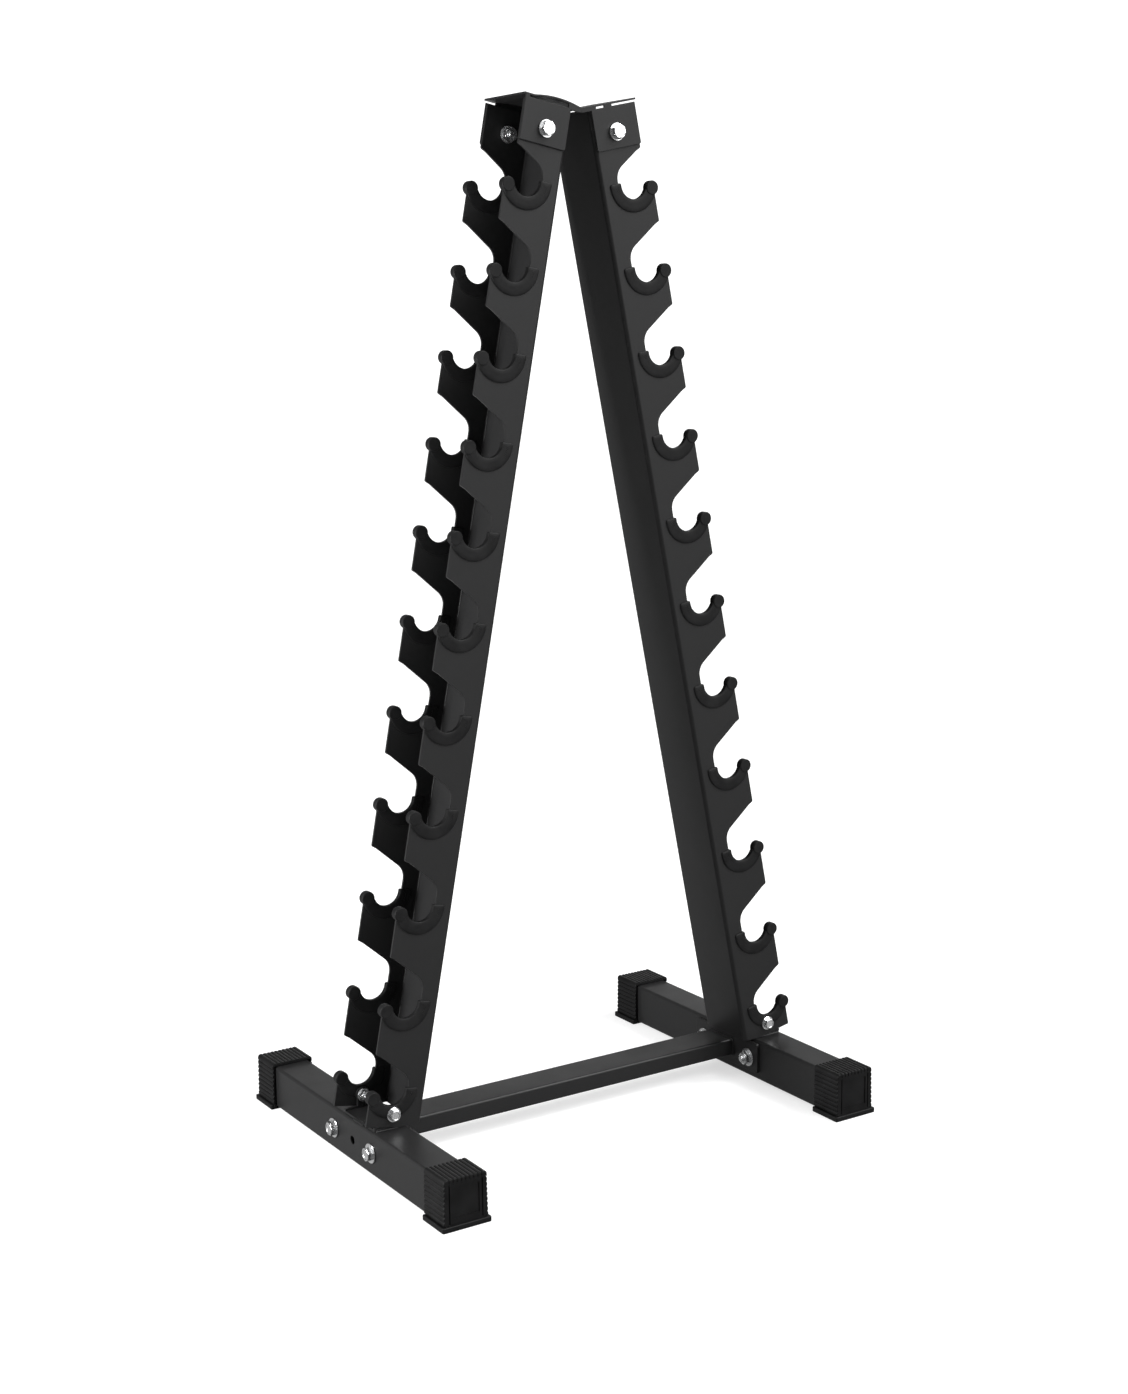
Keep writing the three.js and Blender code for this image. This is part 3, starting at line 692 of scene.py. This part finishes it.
def plate_point(side, t, height):
    sign = -1 if side == "left" else 1
    lift = height + crown_at(side, t)
    x = WEB_TOP_X + t * math.cos(LEAN) - lift * math.sin(LEAN)
    z = WEB_TOP_Z + t * math.sin(LEAN) + lift * math.cos(LEAN)
    return max(x, 0.0) * sign, z


def flap_faces(side, folds):
    """One flap with its folds up to the plate, drawn in (t, z) and split at its bolt hole."""
    far_t = TOP_DEPTH + FLAP_PAST
    low = -FLAP_LENGTH
    lip = FLAP_RISE - FOLD_ROOT
    corner = FLAP_CORNER

    def fold_top(t):
        return BRACKET_LIFT + 0.8 + crown_at(side, t)

    crest = []
    for start, end in folds:
        crest.append((start, FLAP_RISE))
        crest += [(t, fold_top(t)) for t in (start + (end - start) * k / 10 for k in range(11))]
        crest.append((end, FLAP_RISE))
    if crest[-1][0] < far_t:
        crest.append((far_t, FLAP_RISE))
    crest = crest[1:]

    def near(upper, lower):
        if lower == low:
            return [(FLAP_START, upper), *arc(FLAP_START + corner, low + corner, corner, 180, 270, 5)]
        return [crest[0], (APEX, lip), (FLAP_START, lip), (FLAP_START, lower)]

    def far(upper, lower):
        if lower == low:
            return [(far_t, upper), *arc(far_t - corner, low + corner, corner, 0, -90, 5)]
        return [*crest[1:], (far_t, lower)]

    levels = [FLAP_RISE, -TOP_BOLT_S, low]
    return rows(levels, near, far, {-TOP_BOLT_S: (TOP_BOLT_T, M10["hole"])})


def build_top_bracket():
    half = CHANNEL_WIDTH / 2
    under = BRACKET_LIFT
    over = BRACKET_LIFT + BRACKET_SHEET
    flap_in = half + GAP
    flap_out = flap_in + BRACKET_SHEET
    last = TOP_DEPTH + PLATE_OVERHANG
    steps = 24
    columns = []
    for side in SIDES:
        made = []
        for k in range(steps + 1):
            pair = []
            for height in (over, under):
                first = (height * math.sin(LEAN) - WEB_TOP_X) / math.cos(LEAN)
                pair.append(plate_point(side, first + (last - first) * k / steps, height))
            made.append(pair)
        columns += made[::-1] if side == "left" else made[1:]
    skin = Skin()
    for (over_a, under_a), (over_b, under_b) in zip(columns, columns[1:]):
        y0, y1 = UPRIGHT_Y - flap_out, UPRIGHT_Y + flap_out
        corners = [(over_a, under_a, y0), (over_b, under_b, y0), (over_b, under_b, y1), (over_a, under_a, y1)]
        skin.face([((o[0], y, o[1]), (u[0], y, u[1])) for o, u, y in corners])
    shells = [make_mesh("plate", [skin.solid()])]

    for side in SIDES:
        for face in ("front", "back"):
            sign = 1 if (side == "left") == (face == "front") else -1
            flap = Skin()
            for outline in flap_faces(side, FOLDS[side][face]):
                flap.face([((t, sign * flap_out, z), (t, sign * flap_in, z)) for t, z in outline])
            shells.append(make_mesh("flap", [flap.solid()], channel_place(side)))
    return join_meshes("top_bracket", [bake(mesh, bevel=0.4, segments=2) for mesh in shells])


# ---------- box sections ----------
CORNER_STEP = 15  # degrees


def section(half_a, low, high, corner, wall, middle=0.0):
    """Matching outer and inner points round a box section, from its upper right corner."""
    points = []
    inner = corner - wall
    for sa, b, first in ((1, high, 0), (-1, high, 90), (-1, low, 180), (1, low, 270)):
        centre_a = middle + sa * (half_a - corner)
        centre_b = b - corner if b == high else b + corner
        for q in range(first, first + 91, CORNER_STEP):
            c, s = math.cos(math.radians(q)), math.sin(math.radians(q))
            points.append(((centre_a + corner * c, centre_b + corner * s),
                           (centre_a + inner * c, centre_b + inner * s)))
    return points


def bead(path, radius, pitch=2.6, flat=0.75):
    """A weld bead along a path: overlapping ripples, a little uneven."""
    rings = []
    travelled = 0.0
    total = sum((Vector(b) - Vector(a)).length for a, b in zip(path, path[1:]))
    dense = []
    for a, b in zip(path, path[1:]):
        a, b = Vector(a), Vector(b)
        steps = max(1, int((b - a).length / (pitch / 4)))
        dense += [a.lerp(b, k / steps) for k in range(steps)]
    dense.append(Vector(path[-1]))
    for i, point in enumerate(dense):
        before = dense[max(0, i - 1)]
        after = dense[min(len(dense) - 1, i + 1)]
        along = (after - before).normalized()
        side = along.cross(Vector((0, 0, 1)))
        if side.length < 0.1:
            side = along.cross(Vector((1, 0, 0)))
        side.normalize()
        up = side.cross(along)
        if i:
            travelled += (point - dense[i - 1]).length
        ripple = 1 + 0.10 * abs(math.sin(math.pi * travelled / pitch)) + 0.05 * math.sin(travelled * 0.37)
        ends = min(1.0, 0.35 + min(travelled, total - travelled) / radius)
        r = radius * ripple * ends
        rings.append([tuple(point + side * (r * math.cos(q)) + up * (flat * r * math.sin(q)))
                      for q in [math.tau * k / 10 for k in range(10)]])
    return loft(rings)


# ---------- feet ----------
def foot_middle(side):
    return FOOT_SPACING / 2 * (-1 if side == "left" else 1)


def build_tube(middle):
    """A foot's box section along y, with holes for the crossbar's bolts through its sides."""
    half = TUBE_WIDTH / 2
    end = FOOT_LENGTH / 2 - CAP_END_WALL - GAP
    around = section(half, TUBE_BOTTOM, TUBE_TOP, TUBE_CORNER, TUBE_WALL, middle)
    levels = [end, *BAR_HOLES, -end]
    holes = {y: (BAR_BOLT_Z, M10["hole"]) for y in BAR_HOLES}
    skin = Skin()
    low_flat = TUBE_BOTTOM + TUBE_CORNER
    high_flat = TUBE_TOP - TUBE_CORNER
    for face in rows(levels, lambda upper, lower: [(low_flat, upper), (low_flat, lower)],
                     lambda upper, lower: [(high_flat, upper), (high_flat, lower)], holes):
        for sx in (-1, 1):
            skin.face([((middle + sx * half, y, z), (middle + sx * (half - TUBE_WALL), y, z))
                       for z, y in face])
    per_corner = 90 // CORNER_STEP + 1
    for i, ((o1, i1), (o2, i2)) in enumerate(zip(around, around[1:] + around[:1])):
        drilled_side = i % per_corner == per_corner - 1 and i // per_corner in (1, 3)
        if drilled_side:
            continue
        for upper, lower in zip(levels, levels[1:]):
            skin.face([((o1[0], upper, o1[1]), (i1[0], upper, i1[1])),
                       ((o2[0], upper, o2[1]), (i2[0], upper, i2[1])),
                       ((o2[0], lower, o2[1]), (i2[0], lower, i2[1])),
                       ((o1[0], lower, o1[1]), (i1[0], lower, i1[1]))])
    return bake(make_mesh("tube", [skin.solid()]), bevel=0.4, segments=2)


def build_ears(side, middle):
    """The U bracket on a foot: a base and two ears that go inside the upright's flanges."""
    bolt = channel_place(side) @ Vector((FOOT_BOLT_T, 0, FOOT_BOLT_Z))
    ear_in = EAR_OUT - EAR_THICKNESS
    base_top = TUBE_TOP + EAR_BASE
    reach = EAR_WIDTH / 2
    outline = rectangle(middle - reach, middle + reach, UPRIGHT_Y - EAR_OUT, UPRIGHT_Y + EAR_OUT, 2.0)
    shells = [prism_z(outline, TUBE_TOP - 0.2, base_top)]
    neck = EAR_NECK
    root = base_top - 0.5
    shoulder = base_top + EAR_SHOULDER

    def near(upper, lower):
        if upper == bolt.z:
            return [(bolt.x - EAR_TOP_RADIUS, upper), (bolt.x - neck, upper - 3.0),
                    (bolt.x - neck, shoulder), (middle - reach, shoulder - 0.5), (middle - reach, root)]
        return [(bolt.x - EAR_TOP_RADIUS, lower)] * 2

    def far(upper, lower):
        if upper == bolt.z:
            return [(bolt.x + EAR_TOP_RADIUS, upper), (bolt.x + neck, upper - 3.0),
                    (bolt.x + neck, shoulder), (middle + reach, shoulder - 0.5), (middle + reach, root)]
        return arc(bolt.x, bolt.z, EAR_TOP_RADIUS, 180, 0, 24)

    for y_sign in (-1, 1):
        ear = Skin()
        for face in rows([bolt.z + 1.0, bolt.z, root], near, far, {bolt.z: (bolt.x, M8["hole"])}):
            ear.face([((x, UPRIGHT_Y + y_sign * EAR_OUT, z), (x, UPRIGHT_Y + y_sign * ear_in, z))
                      for x, z in face])
        shells.append(ear.solid())
    return bake(make_mesh("bracket", shells), bevel=0.5, segments=2)


def build_ear_welds(middle):
    """Beads along the bracket's four sides, short ones across the foot."""
    reach = EAR_WIDTH / 2
    seams = []
    for y in (UPRIGHT_Y - EAR_OUT, UPRIGHT_Y + EAR_OUT):
        z = TUBE_TOP + 0.6
        seams.append(bead([(middle - reach + 2, y, z), (middle + reach - 2, y, z)], 2.4))
    for x in (middle - reach, middle + reach):
        z = TUBE_TOP + 0.4
        seams.append(bead([(x, UPRIGHT_Y - 14, z), (x, UPRIGHT_Y + 14, z)], 2.0))
    return bake(make_mesh("weld", seams))


def build_foot(side):
    middle = foot_middle(side)
    return join_meshes("foot", [build_tube(middle), build_ears(side, middle), build_ear_welds(middle)])


# ---------- end caps ----------
def rib_depth(share, count):
    """Depth below a rib's crown, at a share of the way across a row of ribs."""
    phase = (share * count) % 1.0
    return CAP_GROOVE * (1 - math.sin(math.pi * phase) ** 0.35)


def cap_outline(inset):
    """The ribbed section, drawn in (x, z) from the right side's foot round over the top."""
    half = CAP_WIDTH / 2
    low = 1.0
    per_rib = 8
    right = []
    count = CAP_SIDE_RIBS * per_rib
    corner = CAP_CORNER
    for k in range(count + 1):
        share = k / count
        z = CAP_RIM_HEIGHT + (CAP_HEIGHT - corner - CAP_RIM_HEIGHT) * share
        right.append((half - rib_depth(share, CAP_SIDE_RIBS) - inset, z))
    right[-1] = (half - CAP_GROOVE * 0.5 - inset, CAP_HEIGHT - corner)
    top = []
    count = CAP_TOP_RIBS * per_rib
    for k in range(count + 1):
        share = k / count
        x = (half - corner) * (1 - 2 * share)
        top.append((x, CAP_HEIGHT - rib_depth(share, CAP_TOP_RIBS) - inset))
    top[0] = (half - corner, CAP_HEIGHT - CAP_GROOVE * 0.5 - inset)
    top[-1] = (corner - half, CAP_HEIGHT - CAP_GROOVE * 0.5 - inset)
    left = [(-x, z) for x, z in reversed(right)]
    points = [(half - CAP_GROOVE - inset, low), *right, *top, *left, (CAP_GROOVE + inset - half, low)]
    drafted = []
    for x, z in points:
        rise = max(0.0, z - CAP_RIM_HEIGHT) / (CAP_HEIGHT - CAP_RIM_HEIGHT)
        drafted.append((x * (1 - CAP_DRAFT * rise), z))
    return drafted


def build_cap():
    """One end cap about its foot's middle line, with the closed end towards -y."""
    half = CAP_WIDTH / 2
    front = -FOOT_LENGTH / 2
    open_end = front + CAP_LENGTH
    stations = [(0.0, 1.0), (0.3, 0.45), (1.0, 0.0), (CAP_LENGTH - 0.7, 0.0), (CAP_LENGTH, 0.5)]
    rings = [[(x, front + along, z) for x, z in cap_outline(inset)] for along, inset in stations]
    body = bake(make_mesh("cap", [loft(rings)]))
    rim = half + CAP_RIM
    base = rectangle(-rim, rim, front - CAP_RIM, open_end - 0.4, 2.0)
    base = bake(make_mesh("rim", [prism_z(base, 0.0, CAP_RIM_HEIGHT)]), bevel=1.1, segments=3)
    clear = TUBE_WIDTH / 2 + GAP
    wide = half - CAP_GROOVE - CAP_SKIN
    high = CAP_HEIGHT - CAP_GROOVE - CAP_SKIN - 0.2
    cutters = [
        box(-clear, clear, front + CAP_END_WALL, open_end + 3, TUBE_BOTTOM - GAP, TUBE_TOP + GAP),
        box(-wide, wide, open_end - CAP_MOUTH_DEPTH, open_end + 2, CAP_RIM_HEIGHT + 0.4, high),
    ]

    def recess(middle, reach, depth, low, high):
        return box(middle - reach, middle + reach, front - CAP_RIM, front + depth, low, high)

    low, high = CAP_RIM_HEIGHT + 1.4, CAP_HEIGHT - 7.0
    for x in (-CAP_FLUTE_X, CAP_FLUTE_X):
        cutters.append(recess(x, CAP_FLUTE_HALF, CAP_FLUTE_DEPTH, low, high))
    cutters.append(recess(0.0, CAP_PANEL_X, CAP_PANEL_DEPTH, CAP_RIM_HEIGHT + 8.5, CAP_HEIGHT - 11.0))
    pitch = 2 * (half - CAP_CORNER) * (1 - CAP_DRAFT) / CAP_TOP_RIBS
    for k in range(1, CAP_TOP_RIBS):
        x = (k - CAP_TOP_RIBS / 2) * pitch
        low, high = CAP_HEIGHT - CAP_STROKE_DROP, CAP_HEIGHT + 1
        cutters.append(recess(x, CAP_STROKE_HALF, CAP_STROKE_DEPTH, low, high))
    cutters = [make_mesh("cutter", [shape]) for shape in cutters]
    return bake(body, joins=[base], cuts=cutters, sharp=38)


# ---------- crossbar ----------
def build_crossbar():
    plate_out = FOOT_SPACING / 2 - TUBE_WIDTH / 2 - GAP
    plate_in = plate_out - PLATE_THICKNESS
    around = section(BAR_DEPTH / 2, BAR_BOTTOM, BAR_TOP, BAR_CORNER, BAR_WALL, BAR_Y)
    skin = Skin()
    stations = [-plate_in + 2 * plate_in * k / 8 for k in range(9)]
    for (o1, i1), (o2, i2) in zip(around, around[1:] + around[:1]):
        for x0, x1 in zip(stations, stations[1:]):
            skin.face([((x0, *o1), (x0, *i1)), ((x1, *o1), (x1, *i1)),
                       ((x1, *o2), (x1, *i2)), ((x0, *o2), (x0, *i2))])
    tube = bake(make_mesh("bar", [skin.solid()]), bevel=0.3, segments=2)

    reach = PLATE_LENGTH / 2
    levels = [PLATE_Y + reach, *BAR_HOLES, PLATE_Y - reach]
    corner = PLATE_CORNER

    def edge(z, sign):
        def points(upper, lower):
            centre = z - sign * corner
            made = [(z, upper), (z, lower)]
            outwards = 0 if sign > 0 else 180
            if upper == levels[0]:
                made[:1] = arc(centre, upper - corner, corner, 90, outwards, 5)
            if lower == levels[-1]:
                made[-1:] = arc(centre, lower + corner, corner, outwards, -90 if sign > 0 else 270, 5)
            return made
        return points

    holes = {y: (BAR_BOLT_Z, M10["hole"]) for y in BAR_HOLES}
    faces = rows(levels, edge(PLATE_BOTTOM, -1), edge(PLATE_TOP, 1), holes)
    meshes = [tube]
    for sign in (-1, 1):
        plate = Skin()
        for face in faces:
            plate.face([((sign * plate_out, y, z), (sign * plate_in, y, z)) for z, y in face])
        meshes.append(bake(make_mesh("end_plate", [plate.solid()]), bevel=0.5, segments=3))
        ring = [(sign * (plate_in - 0.4), y, z) for (y, z), _ in around]
        meshes.append(bake(make_mesh("weld", [bead([*ring, ring[0]], 2.0)])))
    return join_meshes("crossbar", meshes)


# ---------- fasteners ----------
def hex_radius(flats, angle):
    """Distance from the middle to the side of a hexagon, in the direction of angle."""
    turned = (angle + math.pi / 6) % (math.pi / 3) - math.pi / 6
    return flats / 2 / math.cos(turned)


def hexagon(flats, height, hole=0.0, both=False):
    """A hexagon head from y = 0 to y = height, its corners turned down by a cone."""
    angles = [math.tau * k / 72 for k in range(72)]
    crown = flats / 2 * 0.96
    levels = [height * share for share in (0, 0.04, 0.12, 0.2, 0.5, 0.8, 0.88, 0.94, 1.0)]
    rings = []
    for y in levels:
        limit = crown + (height - y) * 1.9
        if both:
            limit = min(limit, crown + y * 1.9)
        ring = []
        for q in angles:
            r = min(hex_radius(flats, q), limit)
            ring.append((r * math.cos(q), y, r * math.sin(q)))
        rings.append(ring)
    if not hole:
        dish = [[(r * math.cos(q), height - drop, r * math.sin(q)) for q in angles]
                for r, drop in ((crown * 0.82, 0.0), (crown * 0.74, 0.35))]
        return loft(rings + dish)
    bore = [[(r * math.cos(q), y, r * math.sin(q)) for q in angles]
            for r, y in ((hole + 0.7, height), (hole, height - 0.7), (hole, 0.7), (hole + 0.7, 0.0))]
    points, faces = loft(rings + bore, closed=False)
    size = len(angles)
    last = (len(rings) + len(bore) - 1) * size
    faces += [[i, last + i, last + (i + 1) % size, (i + 1) % size] for i in range(size)]
    return points, faces


def washer(radius, hole):
    angles = [math.tau * k / 64 for k in range(64)]
    t = WASHER_THICKNESS
    profile = [(radius - 0.35, 0.0), (radius, 0.35), (radius, t - 0.35), (radius - 0.35, t),
               (hole + 0.3, t), (hole, t - 0.3), (hole, 0.3), (hole + 0.3, 0.0)]
    rings = [[(r * math.cos(q), y, r * math.sin(q)) for q in angles] for r, y in profile]
    points, faces = loft([*rings, rings[0]], closed=False)
    size = len(angles)
    count = len(profile) * size
    faces = [[i % count for i in face] for face in faces]
    return points[:count], faces


def threaded(radius, pitch, y_from, y_to, plain_to):
    """A shank from y_from up to y_to, threaded below plain_to, with a chamfered end."""
    sides = 28
    steps = max(2, math.ceil((plain_to - y_from) / (pitch / 6)))
    ys = [y_from + (plain_to - y_from) * k / steps for k in range(steps + 1)] + [y_to]
    depth = pitch * 0.5
    rings = []
    for y in ys:
        ring = []
        for k in range(sides):
            q = math.tau * k / sides
            phase = ((y - y_from) / pitch - k / sides) % 1.0
            cut = depth * (1 - abs(2 * phase - 1)) if y < plain_to - 0.01 else 0.0
            start = min(1.0, (y - y_from) / (pitch * 0.9))
            r = (radius - cut) * (0.82 + 0.18 * start)
            ring.append((r * math.cos(q), y, r * math.sin(q)))
        rings.append(ring)
    return loft(rings)


def fastener_meshes(size, grip, head_washer, nut_washer):
    """A tightened set's four meshes: the head's side faces +y, and the stack runs down to -grip."""
    head_from = GAP + WASHER_THICKNESS
    nut_to = -grip - GAP - WASHER_THICKNESS
    tail = nut_to - size["nut"] - BOLT_TAIL
    inner = size["radius"] + 0.35
    head = [
        (Matrix.Translation((0, head_from, 0)), hexagon(size["flats"], size["head"])),
        (Matrix(), threaded(size["radius"] - 0.05, size["pitch"], tail, head_from + 0.5,
                            min(head_from, nut_to + 6.0))),
    ]
    parts = {
        "bolt": head,
        "washer": [(Matrix.Translation((0, GAP, 0)), washer(head_washer, inner))],
        "nut_washer": [(Matrix.Translation((0, nut_to, 0)), washer(nut_washer, inner))],
        "nut": [(Matrix.Translation((0, nut_to - size["nut"], 0)),
                 hexagon(size["flats"], size["nut"], size["radius"] + 0.02, both=True))],
    }
    meshes = {}
    for name, shells in parts.items():
        placed = [([tuple(place @ Vector(p)) for p in points], faces) for place, (points, faces) in shells]
        meshes[name] = bake(make_mesh(name, placed), sharp=28)
    return meshes


# ---------- assembly ----------
upright_mesh = build_channel()
liner_mesh = build_liner(False)
lowest_liner_mesh = build_liner(True)
cap_mesh = build_cap()
top_set = fastener_meshes(M10, GAP + BRACKET_SHEET + SHEET, TOP_WASHER, TOP_WASHER)
foot_set = fastener_meshes(M8, SHEET + GAP + EAR_THICKNESS, CHANNEL_FOOT_WASHER, EAR_WASHER)
bar_set = fastener_meshes(M10, TUBE_WIDTH + GAP + PLATE_THICKNESS, BAR_WASHER, BAR_WASHER)


def add_fastener(node, meshes, place, turn):
    """The four pieces of one tightened set, the bolt standing for the whole CAD node."""
    spun = place @ Matrix.Rotation(math.radians(turn), 4, "Y")
    for part, mesh in meshes.items():
        replaced = (node,) if part == "bolt" else ()
        add_piece(f"{part}.{node}", mesh, ZINC, replaced, spun)


def add_channel_pieces(side):
    place = channel_place(side)
    add_piece(f"channel_{side}", upright_mesh, STEEL, (f"upright_{side}",), place)
    front = 1 if side == "left" else -1
    for face, sign in (("front", front), ("back", -front)):
        turned = Matrix.Rotation(0 if sign > 0 else math.pi, 4, "Z")
        at = Matrix.Translation((TOP_BOLT_T, sign * (CHANNEL_WIDTH / 2 + GAP + BRACKET_SHEET), -TOP_BOLT_S))
        add_fastener(f"bolt_top_{side}_{face}", top_set, place @ at @ turned, 17 + 23 * sign)
        at = Matrix.Translation((FOOT_BOLT_T, sign * CHANNEL_WIDTH / 2, FOOT_BOLT_Z))
        add_fastener(f"bolt_foot_{side}_{face}", foot_set, place @ at @ turned, 30)
        for tier in range(1, TIERS + 1):
            mesh = lowest_liner_mesh if tier == TIERS else liner_mesh
            at = Matrix.Translation((0, sign * (CHANNEL_WIDTH - SHEET) / 2, -cup_depth(tier)))
            tag = f"{side}_{face}_{tier:02d}"
            replaced = (f"liner_{tag}",) if tier >= FIRST_LINED_NODE else ()
            add_piece(f"cup_liner_{tag}", mesh, RUBBER, replaced, place @ at)


def add_foot_pieces(side):
    sign = -1 if side == "left" else 1
    middle = foot_middle(side)
    add_piece(f"base_{side}", build_foot(side), STEEL, (f"foot_{side}",))
    for face, along in (("front", -1), ("back", 1)):
        turned = Matrix.Rotation(0 if along < 0 else math.pi, 4, "Z")
        place = Matrix.Translation((middle, 0, 0)) @ turned
        node = f"end_cap_{side}_{face}"
        add_piece(f"ribbed_cap_{side}_{face}", cap_mesh, PLASTIC, (node,), place)
        at = (middle + sign * TUBE_WIDTH / 2, PLATE_Y + along * BAR_BOLT_SPACING / 2, BAR_BOLT_Z)
        place = Matrix.Translation(at) @ Matrix.Rotation(-sign * math.pi / 2, 4, "Z")
        add_fastener(f"bolt_bar_{side}_{face}", bar_set, place, 11 + 19 * along)


for side in SIDES:
    add_channel_pieces(side)
    add_foot_pieces(side)
add_piece("folded_bracket", build_top_bracket(), STEEL, ("top_bracket",))
add_piece("tie_bar", build_crossbar(), STEEL, ("crossbar",))


# ---------- floor, light and camera ----------
AMBIENT = 0.11
FLOOR_GLOW = 0.62
# each lobe of light: direction, cosine at its edge, cosine where it is full, strength
LOBES = (
    ((0.54, 0.84, -0.10), 0.88, 0.942, 1.25),
    ((0.50, -0.82, 0.66), 0.78, 0.98, 4.3),
    ((0.50, -0.82, -0.05), 0.90, 0.985, 0.5),
    ((-0.15, 0.88, -0.45), 0.86, 0.97, 0.40),
    ((0.0, 0.0, 1.0), 0.3, 1.0, 0.35),
)
FLOOR_HALF = 30000.0
CAMERA_PLACE = (-1437.6, -2251.9, 1059.7)
CAMERA_TURNS = (32.798, 10.429, -0.763)  # yaw to the right, pitch down and roll, in degrees
CAMERA_FOCAL = 2060.4 / 1128.0  # in picture widths
CAMERA_SENSOR = 36.0


def add_floor():
    reach = FLOOR_HALF
    corners = [(-reach, -reach, 0), (reach, -reach, 0), (reach, reach, 0), (-reach, reach, 0)]
    mesh = make_mesh("floor", [(corners, [[0, 1, 2, 3]])])
    floor = work_object(mesh)
    material, tree, shader = node_material("studio_floor")
    shader.inputs["Base Color"].default_value = (0.5, 0.5, 0.5, 1.0)
    shader.inputs["Specular IOR Level"].default_value = 0.1
    shader.inputs["Emission Color"].default_value = (1.0, 1.0, 1.0, 1.0)
    shader.inputs["Emission Strength"].default_value = FLOOR_GLOW
    grain = noise(tree, coordinates(tree), 40.0, 3.0)
    tree.links.new(mapped(tree, grain, 0.86, 0.94), shader.inputs["Roughness"])
    mesh.materials.append(material)
    floor.visible_glossy = False


def add_sun(direction, strength, angle):
    data = bpy.data.lights.new("key", "SUN")
    data.energy = strength
    data.angle = math.radians(angle)
    light = bpy.data.objects.new("key", data)
    bpy.context.scene.collection.objects.link(light)
    light.rotation_euler = (-Vector(direction)).to_track_quat("-Z", "Y").to_euler()


def add_area_light(name, place, target, size, energy):
    data = bpy.data.lights.new(name, "AREA")
    data.shape = "RECTANGLE"
    data.size, data.size_y = size
    data.energy = energy
    light = bpy.data.objects.new(name, data)
    bpy.context.scene.collection.objects.link(light)
    light.location = place
    light.rotation_euler = (Vector(target) - Vector(place)).to_track_quat("-Z", "Y").to_euler()


def add_world():
    """A dim studio with soft lobes of light."""
    world = bpy.data.worlds.new("studio")
    bpy.context.scene.world = world
    world.use_nodes = True
    tree = world.node_tree
    nodes, links = tree.nodes, tree.links
    background = nodes["Background"]
    where = nodes.new("ShaderNodeTexCoord").outputs["Generated"]
    level = None
    for direction, edge, full, strength in LOBES:
        dot = nodes.new("ShaderNodeVectorMath")
        dot.operation = "DOT_PRODUCT"
        dot.inputs[1].default_value = Vector(direction).normalized()
        links.new(where, dot.inputs[0])
        lobe = nodes.new("ShaderNodeMapRange")
        lobe.interpolation_type = "SMOOTHSTEP"
        lobe.inputs["From Min"].default_value = edge
        lobe.inputs["From Max"].default_value = full
        lobe.inputs["To Max"].default_value = strength
        links.new(dot.outputs["Value"], lobe.inputs["Value"])
        add = nodes.new("ShaderNodeMath")
        add.inputs[1].default_value = AMBIENT
        links.new(lobe.outputs["Result"], add.inputs[0])
        if level is not None:
            links.new(level, add.inputs[1])
        level = add.outputs["Value"]
    links.new(level, background.inputs["Color"])


def add_camera():
    yaw, pitch, roll = (math.radians(q) for q in CAMERA_TURNS)
    forward = Vector((math.sin(yaw) * math.cos(pitch), math.cos(yaw) * math.cos(pitch), -math.sin(pitch)))
    right = forward.cross(Vector((0, 0, 1))).normalized()
    up = right.cross(forward)
    tilted = right * math.cos(roll) + up * math.sin(roll)
    upright = up * math.cos(roll) - right * math.sin(roll)
    data = bpy.data.cameras.new("camera")
    data.sensor_fit = "HORIZONTAL"
    data.sensor_width = CAMERA_SENSOR
    data.lens = CAMERA_FOCAL * CAMERA_SENSOR
    data.clip_start = 0.05
    data.clip_end = 60.0
    camera = bpy.data.objects.new("camera", data)
    bpy.context.scene.collection.objects.link(camera)
    turn = Matrix((tilted, upright, -forward)).transposed().to_4x4()
    camera.matrix_world = Matrix.Translation(Vector(CAMERA_PLACE) * MM) @ turn
    bpy.context.scene.camera = camera


add_world()
add_floor()
add_sun((0.62, -0.38, 0.95), 1.6, 20.0)
add_area_light("left_softbox", (-1.75, 0.12, 0.75), (0.0, 0.0, 0.65), (0.5, 1.3), 60.0)
add_camera()
bpy.context.scene.view_settings.view_transform = "Standard"
